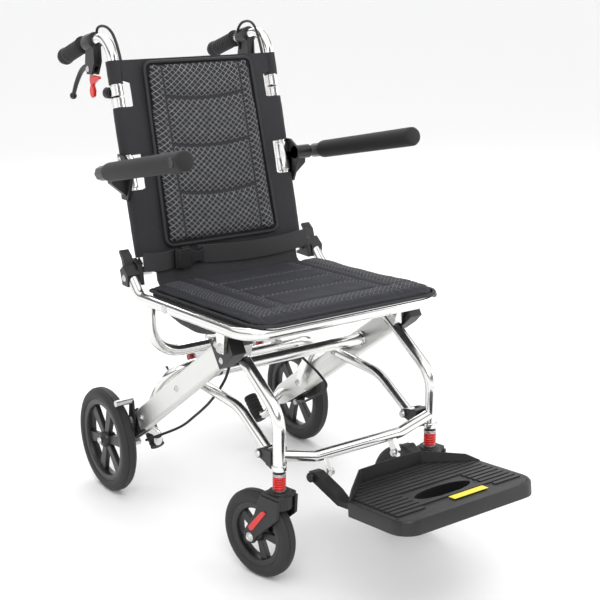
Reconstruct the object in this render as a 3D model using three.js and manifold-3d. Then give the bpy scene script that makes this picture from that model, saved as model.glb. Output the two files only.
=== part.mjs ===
// Transport wheelchair with a folding aluminium frame: slanted rear beams, a front leg frame on
// sprung casters, sliding stays, a seat loop, a folding backrest with fold-down push handles,
// hand brakes, flip-up armrests, a flip-up footplate and a lap belt.
// Millimetres, +Z up. The sitter faces -Y, so the sitter's right side is -X.
import * as THREE from 'three';
import { mergeVertices } from 'three/addons/utils/BufferGeometryUtils.js';
import Module from 'manifold-3d';

const wasm = await Module();
wasm.setup();

// ---------------------------------------------------------------- driving dimensions
const ORIGIN_Y = 25.3; // shift that puts the origin under the middle of the whole chair
const DEG = Math.PI / 180;
const GAP = 0.4; // between touching pieces

const TUBE_R = 10.5; // main frame tubes
const STAY_R = 9;
const ROUND = 12; // sides of a frame tube

const FOLD = { y: -150, z: 384 }; // pivot of front legs, rear beams and seat
const REAR_AXLE = { x: 220, y: 243, z: 100 };
const REAR_WHEEL = { r: 100, width: 28, rim: 78 };
const CASTER_WHEEL = { r: 75, width: 27, rim: 54 };
const CASTER = { x: 158, y: -248, trail: 45, swivel: 12 }; // the casters stand turned a little

const BEAM = { x: 182, width: 22, height: 42, start: 26, end: 392 };
const LEG = { x: 158, bend: 293, foot: 208 };
const CROSSBAR = { z: 205, half: 88, r: 9.5 };
const STAY = { x: 148, low: { y: -203, z: 214 }, top: { y: 10, z: 268 } };
const BRACE = { y: -36, z: 302 };
const REAR_HOOP = { x: 170, y: 88, z: 274, corner: 55 };

const SEAT = { x: 200, front: -230, z: 422, rake: 0.053, corner: 48 };
const SEAT_END = { knee: 126, y: 160, z: 437 }; // the side tube's raised rear end
const SEAT_HOOP = { y: 90, z: 305, corner: 60 };
const BACK = { x: 166, foot: { y: 172, z: 441 }, slope: 0.2537, fold: 742 };
const GRIP = { start: { y: 378, z: 826 }, end: { y: 464, z: 800 }, r: 14.5 };
const ARM = { x: 229, pivot: { y: 190, z: 619 }, tip: { y: -102, z: 680 }, pad: 16.5 };
const FOOT = { pivot: { y: -262, z: 178 }, half: 135, rear: -336, front: -530, tilt: 7 };

// ---------------------------------------------------------------- colours
const finish = (color, roughness, metalness) =>
  new THREE.MeshStandardMaterial({ color, roughness, metalness });
const POLISHED = finish(0xd9d9d6, 0.2, 1);
const SATIN = finish(0xd4d3ce, 0.4, 0.9);
const BLACK = finish(0x1b1b1d, 0.5, 0);
const RUBBER = finish(0x2a2a2b, 0.8, 0);
const RED = finish(0xc81e1c, 0.35, 0);
const FABRIC = finish(0x242226, 0.9, 0);
const WEBBING = finish(0x1a1a1c, 0.85, 0);

// ---------------------------------------------------------------- geometry helpers
const v3 = (x, y, z) => new THREE.Vector3(x, y, z);
const sideName = (s) => (s < 0 ? 'right' : 'left');
const backY = (z) => BACK.foot.y + BACK.slope * (z - BACK.foot.z);
const seatZ = (y) => SEAT.z - SEAT.rake * (y - SEAT.front);
const SEAT_TILT = -Math.atan(SEAT.rake);
const RECLINE = -Math.atan(BACK.slope);

// A path through fixed stations, one ring of the swept section at each.
class StationPath extends THREE.Curve {
  constructor(points) {
    super();
    this.points = points;
  }
  getPoint(t) {
    const last = this.points.length - 1;
    const i = Math.min(Math.floor(t * last + 1e-9), last - 1);
    return this.points[i].clone().lerp(this.points[i + 1], t * last - i);
  }
  getPointAt(u) {
    return this.getPoint(u);
  }
  getTangentAt(u) {
    const last = this.points.length - 1;
    const i = Math.round(u * last);
    const ahead = this.points[Math.min(i + 1, last)].clone();
    const here = this.points[i];
    const behind = this.points[Math.max(i - 1, 0)];
    const outgoing = ahead.sub(here).normalize();
    const incoming = here.clone().sub(behind).normalize();
    return outgoing.add(incoming).normalize();
  }
}

// Stations of a polyline whose corners are rounded: corners[i] = {p, r}.
function rounded(corners, stepDeg = 22) {
  const stations = [corners[0].p];
  for (let i = 1; i < corners.length - 1; i++) {
    const { p, r = 0 } = corners[i];
    const toPrev = corners[i - 1].p.clone().sub(p).normalize();
    const toNext = corners[i + 1].p.clone().sub(p).normalize();
    const inner = toPrev.angleTo(toNext);
    if (!r) {
      stations.push(p);
      continue;
    }
    const cut = r / Math.tan(inner / 2);
    const centre = toPrev.clone().add(toNext).normalize().multiplyScalar(r / Math.sin(inner / 2)).add(p);
    const from = p.clone().addScaledVector(toPrev, cut).sub(centre);
    const to = p.clone().addScaledVector(toNext, cut).sub(centre);
    const sweep = from.angleTo(to);
    const steps = Math.max(1, Math.ceil(sweep / DEG / stepDeg));
    const axis = from.clone().cross(to).normalize();
    for (let k = 0; k <= steps; k++) {
      stations.push(from.clone().applyAxisAngle(axis, (sweep * k) / steps).add(centre));
    }
  }
  stations.push(corners[corners.length - 1].p);
  return stations;
}

function circle(r, sides) {
  const shape = new THREE.Shape();
  for (let i = 0; i < sides; i++) {
    const a = (2 * Math.PI * (i + 0.5)) / sides;
    if (i) shape.lineTo(r * Math.cos(a), r * Math.sin(a));
    else shape.moveTo(r * Math.cos(a), r * Math.sin(a));
  }
  return shape;
}

function outline(points) {
  return new THREE.Shape(points.map(([x, y]) => new THREE.Vector2(x, y)));
}

function sweep(stations, shape) {
  const extrudePath = new StationPath(stations);
  return new THREE.ExtrudeGeometry(shape, { steps: stations.length - 1, extrudePath, bevelEnabled: false });
}

const tube = (corners, r = TUBE_R, sides = ROUND) => sweep(rounded(corners), circle(r, sides));
const rod = (a, b, r, sides = ROUND) => sweep([a, b], circle(r, sides));

// A round piece about an axis along X, from x0 to x1.
const disc = (x0, x1, y, z, r, sides = 20) => rod(v3(x0, y, z), v3(x1, y, z), r, sides);

// A plate cut to a side-view outline of [y, z] points, from x0 to x1.
function sidePlate(points, x0, x1) {
  const low = Math.min(x0, x1);
  const g = new THREE.ExtrudeGeometry(outline(points), { depth: Math.abs(x1 - x0), bevelEnabled: false });
  // the shape's x, y and depth become Y, Z and X
  g.applyMatrix4(new THREE.Matrix4().set(0, 0, 1, low, 1, 0, 0, 0, 0, 1, 0, 0, 0, 0, 0, 1));
  return g;
}

// A plate cut to a front-view outline of [x, z] points, from y0 to y1.
function frontPlate(points, y0, y1) {
  const g = new THREE.ExtrudeGeometry(outline(points), { depth: y1 - y0, bevelEnabled: false });
  g.rotateX(Math.PI / 2);
  g.translate(0, y1, 0);
  return g;
}

function box(x0, x1, y0, y1, z0, z1) {
  const g = new THREE.BoxGeometry(Math.abs(x1 - x0), y1 - y0, z1 - z0);
  g.translate((x0 + x1) / 2, (y0 + y1) / 2, (z0 + z1) / 2);
  return g;
}

// A geometry turned about an X axis through (y, z).
function turned(g, angle, y, z) {
  g.translate(0, -y, -z);
  g.rotateX(angle);
  g.translate(0, y, z);
  return g;
}

function solid(geometry) {
  const g = geometry.index ? geometry.toNonIndexed() : geometry.clone();
  const bare = new THREE.BufferGeometry().setAttribute('position', g.getAttribute('position'));
  const merged = mergeVertices(bare, 1e-3);
  return new wasm.Manifold(
    new wasm.Mesh({
      numProp: 3,
      vertProperties: merged.attributes.position.array,
      triVerts: new Uint32Array(merged.index.array),
    }),
  );
}

function geometryOf(manifold) {
  const m = manifold.getMesh();
  const g = new THREE.BufferGeometry();
  g.setAttribute('position', new THREE.BufferAttribute(Float32Array.from(m.vertProperties), 3));
  g.setIndex(new THREE.BufferAttribute(Uint32Array.from(m.triVerts), 1));
  return g;
}

const join = (...pieces) => geometryOf(pieces.map(solid).reduce((a, b) => a.add(b)));
const cut = (body, ...tools) => geometryOf(tools.map(solid).reduce((a, b) => a.subtract(b), solid(body)));

const chair = new THREE.Group();
chair.position.y = ORIGIN_Y;
function add(name, geometry, material) {
  const mesh = new THREE.Mesh(geometry, material);
  mesh.name = name;
  chair.add(mesh);
}

// ---------------------------------------------------------------- rear frame
const beamLength = Math.hypot(REAR_AXLE.y - FOLD.y, REAR_AXLE.z - FOLD.z);
const beamDir = { y: (REAR_AXLE.y - FOLD.y) / beamLength, z: (REAR_AXLE.z - FOLD.z) / beamLength };
const BEAM_ANGLE = Math.atan2(beamDir.z, beamDir.y);
// The point a distance along the beam from the fold pivot, and up from its axis.
const onBeam = (along, up = 0) => [
  FOLD.y + along * beamDir.y - up * beamDir.z,
  FOLD.z + along * beamDir.z + up * beamDir.y,
];

const beamOutline = (from, to, half) => [
  onBeam(from, -half),
  onBeam(to, -half),
  onBeam(to, half),
  onBeam(from, half),
];

function beam(s) {
  const { x, width, height, start, end } = BEAM;
  const inner = s * (x - width / 2);
  const outer = s * (x + width / 2);
  const trackDepth = 4;
  const body = sidePlate(beamOutline(start, end, height / 2), inner, outer);
  const track = sidePlate(beamOutline(182, 360, 9.5), inner - s, inner + s * trackDepth);
  return cut(body, track);
}

// The cap over the beam's front end, with the fold pivot's boss.
function hingeBlock(s) {
  const inner = s * (BEAM.x - BEAM.width / 2 - 1);
  const outer = s * (BEAM.x + BEAM.width / 2 + 3);
  const half = BEAM.height / 2 + 3;
  const cap = sidePlate(
    [
      onBeam(-16, -20), onBeam(6, -half), onBeam(34, -half),
      onBeam(34, half), onBeam(-6, half), onBeam(-18, 10),
    ],
    inner,
    outer,
  );
  const pocket = sidePlate(
    beamOutline(BEAM.start - GAP, 60, BEAM.height / 2 + GAP),
    s * (BEAM.x - BEAM.width / 2 - GAP),
    s * (BEAM.x + BEAM.width / 2 + GAP),
  );
  const bolt = disc(s * 145, s * 193.6, FOLD.y, FOLD.z, 5, 10);
  return join(cut(cap, pocket), bolt);
}

// The black end casting of a beam: plugs the beam's lower end and carries the wheel's axle.
function axleBracket(s) {
  const plate = sidePlate(
    [onBeam(BEAM.end + GAP, -21), onBeam(beamLength + 4, -15),
      onBeam(beamLength + 16, 0), onBeam(beamLength + 4, 15),
      onBeam(BEAM.end + GAP, 21)],
    s * (BEAM.x - 9),
    s * (BEAM.x + 9),
  );
  const axle = disc(s * 178, s * 238, REAR_AXLE.y, REAR_AXLE.z, 5, 10);
  const nut = disc(s * 236, s * 242, REAR_AXLE.y, REAR_AXLE.z, 9, 6);
  const [by, bz] = BRAKE;
  const brakeBolt = disc(s * 185, s * 200, by, bz, 4, 8);
  return join(plate, axle, nut, brakeBolt);
}
const BRAKE = onBeam(BEAM.end + 14, 8); // pivot of the brake arm

// The cross hoop that stands on the two beams with its flat side links, and the brace between them.
function rearHoop() {
  const foot = onBeam(375, 10);
  const { x, y, z, corner } = REAR_HOOP;
  const hoop = tube(
    [
      { p: v3(-x, foot[0], foot[1]) },
      { p: v3(-x, y, z), r: corner },
      { p: v3(x, y, z), r: corner },
      { p: v3(x, foot[0], foot[1]) },
    ],
    STAY_R,
  );
  const beams = sidePlate(beamOutline(300, 450, BEAM.height / 2 + GAP), -200, 200);
  const link = (s) => {
    const bar = sidePlate([[95, 262], [111, 272], [162, 160], [149, 154]], s * 158, s * 163);
    const bolt = disc(s * 155, s * 170.5, 150, 164, 5, 8);
    return join(bar, bolt);
  };
  return join(cut(hoop, beams), link(-1), link(1));
}
const brace = () => {
  const x = BEAM.x - BEAM.width / 2 - GAP;
  return rod(v3(-x, BRACE.y, BRACE.z), v3(x, BRACE.y, BRACE.z), TUBE_R);
};

// The arm that swings on its bolt and presses its shoe on the tyre.
function brakeArm(s) {
  const [y, z] = BRAKE;
  const inner = s * (BEAM.x + BEAM.width / 2 + 0.8);
  const outer = s * (BEAM.x + BEAM.width / 2 + 5);
  const plate = sidePlate(
    [[y + 2, z - 58], [y + 14, z - 58], [y + 12, z], [y + 7, z + 40], [y - 7, z + 40], [y - 11, z]],
    inner,
    outer,
  );
  const shoe = disc(inner, s * (REAR_AXLE.x + 9), y, z + 38, 6, 10);
  const bore = disc(inner - s, outer + s, y, z, 4.4, 10);
  const barrel = disc(s * (BEAM.x - 6), inner + s, y + 8, z - 50, 6, 10);
  return join(cut(plate, bore), shoe, barrel);
}

// Tipping step: a bent bar from the axle bracket, its rear end covered by a grip.
function tippingStep(s) {
  const bar = tube(
    [
      { p: v3(s * (BEAM.x - 9 - GAP), 216, 120) },
      { p: v3(s * 158, 216, 120) },
      { p: v3(s * 132, 210, 104), r: 14 },
      { p: v3(s * 120, 212, 46), r: 24 },
      { p: v3(s * 120, 268, 101) },
    ],
    8,
    10,
  );
  const cover = rod(v3(s * 120, 232, 65.6), v3(s * 120, 272, 105), 14, 12);
  return join(bar, cover);
}

// ---------------------------------------------------------------- wheels
// A ring about the axle, its section given as [radius, half width] corners, mirrored side to side.
function ring(half, x, y, z, segments) {
  const section = [...half.map(([r, w]) => [r, -w]), ...half.map(([r, w]) => [r, w]).reverse()];
  const points = [...section, section[0]].map(([r, w]) => new THREE.Vector2(r, w));
  const g = new THREE.LatheGeometry(points, segments);
  g.rotateZ(Math.PI / 2);
  g.translate(x, y, z);
  return g;
}

function outward(geometry) {
  const m = solid(geometry);
  if (m.volume() > 0) return geometry;
  const g = geometry.clone();
  const index = g.index.array;
  for (let i = 0; i < index.length; i += 3) [index[i + 1], index[i + 2]] = [index[i + 2], index[i + 1]];
  return g;
}

const tyre = ({ r, width, rim }, x, y, z, segments) =>
  outward(
    ring(
      [
          [rim, width * 0.36], [rim + 8, width / 2], [r - 6, width / 2],
          [r - 1.2, width * 0.3], [r, width * 0.16],
        ],
      x, y, z, segments,
    ),
  );

function rim({ rim: rimR, width }, x, y, z, spokes, segments, bore) {
  const band = outward(ring([[rimR - 8, width * 0.34], [rimR - GAP, width * 0.34]], x, y, z, segments));
  const hub = disc(x - width * 0.5, x + width * 0.5, y, z, bore + 9, 16);
  const arms = Array.from({ length: spokes }, (_, k) => {
    const spoke = box(-width * 0.16, width * 0.16, bore + 3, rimR - 4, -5.5, 5.5);
    spoke.rotateX((2 * Math.PI * k) / spokes + 0.3);
    spoke.translate(x, y, z);
    return spoke;
  });
  const wheel = join(band, hub, ...arms);
  return cut(wheel, disc(x - width, x + width, y, z, bore + GAP, 12));
}

// ---------------------------------------------------------------- front frame and casters
function frontFrame() {
  const legTop = v3(LEG.x, -124, 371 + 1);
  const leg = (s) =>
    tube([
      { p: v3(s * LEG.x, legTop.y, legTop.z) },
      { p: v3(s * LEG.x, CASTER.y, LEG.bend), r: 55 },
      { p: v3(s * LEG.x, CASTER.y, LEG.foot) },
    ]);
  const legLug = (s) =>
    sidePlate(
      [[-162, 384], [-156, 396], [-142, 396], [-118, 380], [-118, 366], [-150, 348]],
      s * (LEG.x - 9),
      s * (LEG.x + 9),
    );
  const bar = tube(
    [
      { p: v3(-LEG.x, CASTER.y, 224) },
      { p: v3(-CROSSBAR.half, CASTER.y, CROSSBAR.z), r: 40 },
      { p: v3(CROSSBAR.half, CASTER.y, CROSSBAR.z), r: 40 },
      { p: v3(LEG.x, CASTER.y, 224) },
    ],
    CROSSBAR.r,
  );
  const tab = (s) =>
    sidePlate(
      [[-250, 210], [-238, 196], [FOOT.pivot.y + 7, FOOT.pivot.z - 5], [FOOT.pivot.y - 5, FOOT.pivot.z - 7],
        [FOOT.pivot.y - 7, FOOT.pivot.z + 5]],
      s * 68,
      s * 76,
    );
  const pin = (s) => disc(s * 70, s * 103, FOOT.pivot.y, FOOT.pivot.z, 3.5, 8);
  const bores = [-1, 1].map((s) => disc(s * 140, s * 175, FOLD.y, FOLD.z, 5.6, 12));
  const sides = [-1, 1].flatMap((s) => [leg(s), legLug(s), tab(s), pin(s), stem(s)]);
  const frame = join(bar, ...sides);
  return cut(frame, ...bores);
}

// The black bracket on the back of a leg that holds the stay's lower end.
function clevis(s) {
  const { y, z } = STAY.low;
  const body = sidePlate(
    [[y - 10, z - 9], [CASTER.y + TUBE_R + GAP, z - 16],
      [CASTER.y + TUBE_R + GAP, z + 16], [y - 6, z + 11], [y + 9, z + 4],
      [y + 9, z - 7]],
    s * 135,
    s * 167,
  );
  const slot = box(s * 138.5, s * 158, y - 16, y + 30, z - 40, z + 40);
  const pin = disc(s * 137, s * 160, y, z, 3.5, 8);
  return join(cut(body, slot), pin);
}

const SPRING = { low: 165, high: 191, r: 11 };

// The caster's stem and upper spring seat, fixed in the foot of a leg.
function stem(s) {
  const x = s * CASTER.x;
  const shaft = rod(v3(x, CASTER.y, 153), v3(x, CASTER.y, LEG.foot + 4), 6, 12);
  const collar = rod(v3(x, CASTER.y, SPRING.high + GAP), v3(x, CASTER.y, SPRING.high + 6), 11, 16);
  return join(shaft, collar);
}

// A compression spring as a sleeve with coil ridges.
function spring(s) {
  const { low, high, r } = SPRING;
  const coils = 5;
  const pitch = (high - low) / coils;
  const profile = [[6.6, low]];
  for (let i = 0; i < coils; i++) {
    profile.push([r - 2.2, low + pitch * i], [r, low + pitch * (i + 0.5)]);
  }
  profile.push([r - 2.2, high], [6.6, high], [6.6, low]);
  const g = new THREE.LatheGeometry(profile.map(([a, b]) => new THREE.Vector2(a, b)), 16);
  g.rotateX(Math.PI / 2);
  g.translate(s * CASTER.x, CASTER.y, 0);
  return outward(g);
}

// Turns a caster piece about its stem, to the angle the casters stand at.
function swivelled(g, s) {
  g.translate(-s * CASTER.x, -CASTER.y, 0);
  g.rotateZ(CASTER.swivel * DEG);
  g.translate(s * CASTER.x, CASTER.y, 0);
  return g;
}

// Caster fork: a head round the stem and two arms trailing back to the axle.
function fork(s) {
  const x = s * CASTER.x;
  const axleY = CASTER.y + CASTER.trail;
  const crown = box(x - 23, x + 23, CASTER.y - 16, CASTER.y + 18, 152.5, 160);
  const arm = (k) =>
    sidePlate(
      [[CASTER.y - 17, 160], [CASTER.y - 12, 122], [axleY - 15, 78],
        [axleY - 6, 65], [axleY + 6, 66], [axleY + 12, 78],
        [CASTER.y + 32, 118], [CASTER.y + 19, 160]],
      x + k * 18,
      x + k * 23,
    );
  const axle = disc(x - 26, x + 26, axleY, CASTER_WHEEL.r, 4, 8);
  const body = join(crown, arm(-1), arm(1), axle);
  const sleeve = rod(v3(x, CASTER.y, 152), v3(x, CASTER.y, SPRING.low - GAP), 17, 16);
  const bore = rod(v3(x, CASTER.y, 100), v3(x, CASTER.y, 200), 6.5, 12);
  return cut(join(body, sleeve), bore);
}

// ---------------------------------------------------------------- stays
function stayFrame(s) {
  const { low, top, x } = STAY;
  const bent = tube(
    [
      { p: v3(s * x, top.y + 2, top.z - 1) },
      { p: v3(s * x, -118, 262), r: 90 },
      { p: v3(s * x, low.y, low.z) },
    ],
    STAY_R,
    10,
  );
  const eye = disc(s * (x - 8.5), s * (x + 8.5), low.y, low.z, 8.5, 12);
  const guide = disc(s * x, s * (BEAM.x - BEAM.width / 2 + 3), top.y, top.z, 4, 8);
  const bore = disc(s * (x - 20), s * (x + 20), low.y, low.z, 4.2, 10);
  return cut(join(bent, eye, guide), bore);
}

// ---------------------------------------------------------------- seat
function seatFrame() {
  const { x, front, corner } = SEAT;
  const { knee, y: endY, z: endZ } = SEAT_END;
  const loop = tube([
    { p: v3(-x, endY, endZ) },
    { p: v3(-x, knee, seatZ(knee)), r: 40 },
    { p: v3(-x, front, seatZ(front)), r: corner },
    { p: v3(x, front, seatZ(front)), r: corner },
    { p: v3(x, knee, seatZ(knee)), r: 40 },
    { p: v3(x, endY, endZ) },
  ]);
  const { y, z, corner: hoopCorner } = SEAT_HOOP;
  const hoop = tube([
    { p: v3(-x, y, seatZ(y)) },
    { p: v3(-x, y, z), r: hoopCorner },
    { p: v3(x, y, z), r: hoopCorner },
    { p: v3(x, y, seatZ(y)) },
  ]);
  const lug = (s) =>
    sidePlate(
      [
        [FOLD.y - 14, seatZ(FOLD.y) - 2], [FOLD.y - 9, FOLD.z - 8],
        [FOLD.y + 9, FOLD.z - 8], [FOLD.y + 14, seatZ(FOLD.y) - 2],
      ],
      s * 197,
      s * 204,
    );
  const pivot = (s) => disc(s * 196.4, s * 200, FOLD.y, FOLD.z, 7, 12);
  return join(loop, hoop, lug(-1), lug(1), pivot(-1), pivot(1));
}

const CUSHION = { front: -243, rear: 118, half: 189, lift: 11, thick: 11 };
const SLING = { front: -214, rear: 106, half: 186 };

function padOutline(x, y0, y1, r) {
  const shape = new THREE.Shape();
  shape.moveTo(-x + r, y0);
  shape.lineTo(x - r, y0);
  shape.absarc(x - r, y0 + r, r, -Math.PI / 2, 0, false);
  shape.lineTo(x, y1);
  shape.lineTo(-x, y1);
  shape.lineTo(-x, y0 + r);
  shape.absarc(-x + r, y0 + r, r, Math.PI, 1.5 * Math.PI, false);
  return shape;
}

// A flat pad on the raked seat plane: the outline in plan, from z0 to z1 above the tube centres.
function seatPad({ front, rear, half }, r, z0, z1) {
  const shape = padOutline(half, front - SEAT.front, rear - SEAT.front, r);
  const g = new THREE.ExtrudeGeometry(shape, { depth: z1 - z0, bevelEnabled: false, curveSegments: 4 });
  g.translate(0, 0, z0);
  g.rotateX(SEAT_TILT);
  g.translate(0, SEAT.front, SEAT.z);
  return g;
}

// Hinge bracket that joins the seat tube's raised end to the backrest tube.
function backHinge(s) {
  const { y, z } = BACK.foot;
  const plate = sidePlate(
    [[y - 26, z - 22], [y + 14, z - 22], [y + 17, z + 10], [y + 4, z + 22], [y - 20, z + 14]],
    s * 178.5,
    s * 189,
  );
  const socket = sidePlate(
    [[y - 26, z - 22], [y - 6, z - 22], [y + 4, z + 4], [y - 14, z + 14], [y - 26, z]],
    s * 189 - s,
    s * 214,
  );
  const bolt = disc(s * 152, s * 200, y, z, 4.5, 10);
  const head = disc(s * 213, s * 218, y + 2, z - 2, 7, 6);
  return join(cut(join(plate, socket), seatTubeBore(s)), bolt, head);
}
const seatTubeBore = (s) => {
  const knee = v3(s * SEAT.x, SEAT_END.knee, seatZ(SEAT_END.knee));
  const end = v3(s * SEAT.x, SEAT_END.y, SEAT_END.z);
  const beyond = end.clone().sub(knee).multiplyScalar(1.15).add(knee);
  return tube([{ p: beyond }, { p: knee, r: 40 }, { p: v3(s * SEAT.x, 60, seatZ(60)) }], TUBE_R + GAP);
};

// Red-tipped catch on the seat's hoop, stopping just behind the rear hoop.
const CATCH = { x: 76 };
function catchLever(s) {
  const { y, z } = SEAT_HOOP;
  const lowZ = REAR_HOOP.z;
  const x0 = s * (CATCH.x - 7);
  const x1 = s * (CATCH.x + 7);
  const plate = sidePlate(
    [[y - 15, z + 15], [y + 15, z + 15], [y + 22, z - 10],
      [y + 66, z - 38], [y + 62, z - 46], [y + 19, lowZ - 8],
      [y + 9, lowZ - 8], [y + 9, z - 16], [y - 15, z - 14]],
    x0,
    x1,
  );
  const knob = disc(x0 - s * 6, x1 + s * 6, y + 66, z - 43, 8, 10);
  const bore = disc(x0 - s * 2, x1 + s * 2, y, z, TUBE_R + GAP, 14);
  return cut(join(plate, knob), bore);
}

// ---------------------------------------------------------------- backrest
function backFrame() {
  const footY = BACK.foot.y;
  const footZ = BACK.foot.z;
  const foldY = backY(BACK.fold - 3);
  const upright = (s) =>
    rod(v3(s * BACK.x, footY, footZ), v3(s * BACK.x, foldY, BACK.fold - 3), TUBE_R - 0.5);
  const eye = (s) => disc(s * (BACK.x - 12), s * (BACK.x + 12), footY, footZ, 12, 14);
  const rail = (z) =>
    tube([{ p: v3(-BACK.x, backY(z) + 2, z) }, { p: v3(BACK.x, backY(z) + 2, z) }], 7.5, 10);
  const knuckle = (s) =>
    turned(
      box(s * (BACK.x - 11.5), s * (BACK.x + 11.5), foldY - 11, foldY + 15, BACK.fold - 20, BACK.fold - 0.5),
      RECLINE,
      foldY,
      BACK.fold,
    );
  const bores = [-1, 1].map((s) => disc(s * (BACK.x - 20), s * (BACK.x + 20), footY, footZ, 5, 12));
  const frame = join(upright(-1), upright(1), eye(-1), eye(1), rail(520), knuckle(-1), knuckle(1));
  return cut(frame, ...bores);
}

// Push handle tube above the fold, bent back to carry the grip.
function handleTube(s) {
  const x = s * BACK.x;
  const y0 = backY(BACK.fold + 0.8);
  const upper = tube([
    { p: v3(x, y0, BACK.fold + 0.8) },
    { p: v3(x, 272, 848), r: 42 },
    { p: v3(x, GRIP.start.y, GRIP.start.z), r: 0 },
    { p: v3(x, GRIP.start.y + 4, GRIP.start.z - 1.2) },
  ], TUBE_R - 0.5);
  const knuckle = turned(
    box(x - 11.5, x + 11.5, y0 - 11, y0 + 15, BACK.fold + 0.8, BACK.fold + 18),
    RECLINE,
    y0,
    BACK.fold,
  );
  return join(upper, knuckle);
}

function grip(s) {
  const x = s * BACK.x;
  const { start, end, r } = GRIP;
  const dir = { y: (end.y - start.y) / 90, z: (end.z - start.z) / 90 };
  const at = (d, drop = 0) => v3(x, start.y + 4 + GAP + dir.y * d, start.z - 1.2 + dir.z * d - drop);
  const body = tube([{ p: at(0) }, { p: at(76) }, { p: at(90, 5) }], r, 12);
  const bulb = new THREE.SphereGeometry(r + 1.5, 12, 8);
  bulb.translate(x, at(86).y, at(86).z - 4);
  return join(body, bulb);
}

const LEVER = { y: 352, z: 784 };
function brakeClamp(s) {
  const x = s * BACK.x;
  const around = tube([{ p: v3(x, 330, 836) }, { p: v3(x, 362, 829) }], TUBE_R + 5, 12);
  const profile = [[326, 838], [352, 832], [360, 790], [352, 774], [332, 776], [320, 800]];
  const body = sidePlate(profile, x - 7, x + 7);
  const bore = handleBore(x);
  const slot = box(x - 3.6, x + 3.6, 336, 372, 770, 796);
  const pin = disc(x - 5, x + 5, LEVER.y, LEVER.z, 2, 8);
  return join(cut(join(around, body), bore, slot), pin);
}
const handleBore = (x) =>
  tube([
    { p: v3(x, backY(BACK.fold), BACK.fold) },
    { p: v3(x, 272, 848), r: 42 },
    { p: v3(x, GRIP.start.y, GRIP.start.z) },
  ], TUBE_R - 0.5 + GAP);

function brakeLever(s) {
  const x = s * BACK.x;
  const blade = tube(
    [{ p: v3(x, LEVER.y, LEVER.z) }, { p: v3(x, 396, 778), r: 70 }, { p: v3(x, 434, 732) }],
    3.1,
    8,
  );
  const boss = disc(x - 3, x + 3, LEVER.y, LEVER.z, 6, 12);
  const ball = new THREE.SphereGeometry(6.5, 10, 8);
  ball.translate(x, 436, 729);
  const bore = disc(x - 6, x + 6, LEVER.y, LEVER.z, 2.5, 10);
  return cut(join(blade, boss, ball), bore);
}

// Red lever that holds the brake on.
function parkingLock(s) {
  const x = s * BACK.x;
  const y = LEVER.y - 8;
  const z = LEVER.z - 12.5;
  const teardrop = [
    [y - 4, z], [y + 4, z], [y + 8, z - 6], [y + 6, z - 16],
    [y + 9, z - 34], [y + 1, z - 37], [y - 4, z - 34], [y - 8, z - 6],
  ];
  const plate = sidePlate(teardrop, x - 3, x + 3);
  return plate;
}

const UPHOLSTERY = { bottom: 468, top: 800 };
// A flat slab that follows the recline: from z0 to z1, front and back measured from the tube axis.
function backSlab(half, z0, z1, front, back) {
  return sidePlate(
    [[backY(z0) + front, z0], [backY(z0) + back, z0], [backY(z1) + back, z1], [backY(z1) + front, z1]],
    -half,
    half,
  );
}

// Clamp on the backrest tube with a gusset reaching out under the armrest's pivot.
function armBracket(s) {
  const { y, z } = ARM.pivot;
  const inner = BACK.x + 10.8;
  const tubeY = backY(z - 22);
  const collar = disc(s * inner, s * (ARM.x - 17), y, z, 13, 12);
  const plate = sidePlate(
    [
      [tubeY - 6, z + 24], [tubeY + 18, z + 24], [tubeY + 8, z - 56],
      [tubeY - 16, z - 56], [y - 12, z - 12], [y - 12, z + 8],
    ],
    s * inner,
    s * (inner + 5),
  );
  const web = [[s * inner, z], [s * (ARM.x - 17), z], [s * (ARM.x - 19), z - 24], [s * inner, z - 52]];
  const gusset = frontPlate(web, tubeY - 13, tubeY + 5);
  const pin = disc(s * (ARM.x - 19), s * (ARM.x + 9), y, z, 4, 10);
  return join(collar, plate, gusset, pin);
}

const armDir = Math.atan2(ARM.tip.z - ARM.pivot.z, ARM.tip.y - ARM.pivot.y);
const onArm = (d, up = 0) =>
  v3(
    0,
    ARM.pivot.y + d * Math.cos(armDir) + up * Math.sin(armDir),
    ARM.pivot.z + d * Math.sin(armDir) - up * Math.cos(armDir),
  );
const ARM_LENGTH = Math.hypot(ARM.tip.y - ARM.pivot.y, ARM.tip.z - ARM.pivot.z);

function armrest(s) {
  const at = (d) => onArm(d).setX(s * ARM.x);
  const knuckle = disc(s * (ARM.x - 11.5), s * (ARM.x + 8), ARM.pivot.y, ARM.pivot.z, 15, 14);
  const pad = rod(at(4), at(ARM_LENGTH - 12), ARM.pad, 16);
  const tip = new THREE.SphereGeometry(ARM.pad, 16, 8);
  tip.translate(at(ARM_LENGTH - 14).x, at(ARM_LENGTH - 14).y, at(ARM_LENGTH - 14).z);
  const bore = disc(s * (ARM.x - 20), s * (ARM.x + 20), ARM.pivot.y, ARM.pivot.z, 4.6, 12);
  return cut(join(knuckle, pad, tip), bore);
}

// ---------------------------------------------------------------- lap belt
const BELT = { z0: 444, z1: 470, thick: 2.5 };
function beltStrap(x0, x1) {
  const y = backY(BELT.z0) - 24;
  return box(Math.min(x0, x1), Math.max(x0, x1), y - BELT.thick, y, BELT.z0 + 4, BELT.z1 + 4);
}
const buckle = () => {
  const y = backY(BELT.z0) - 24;
  return box(-112, -62, y - 9, y + 3, BELT.z0, BELT.z1 + 8);
};

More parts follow.
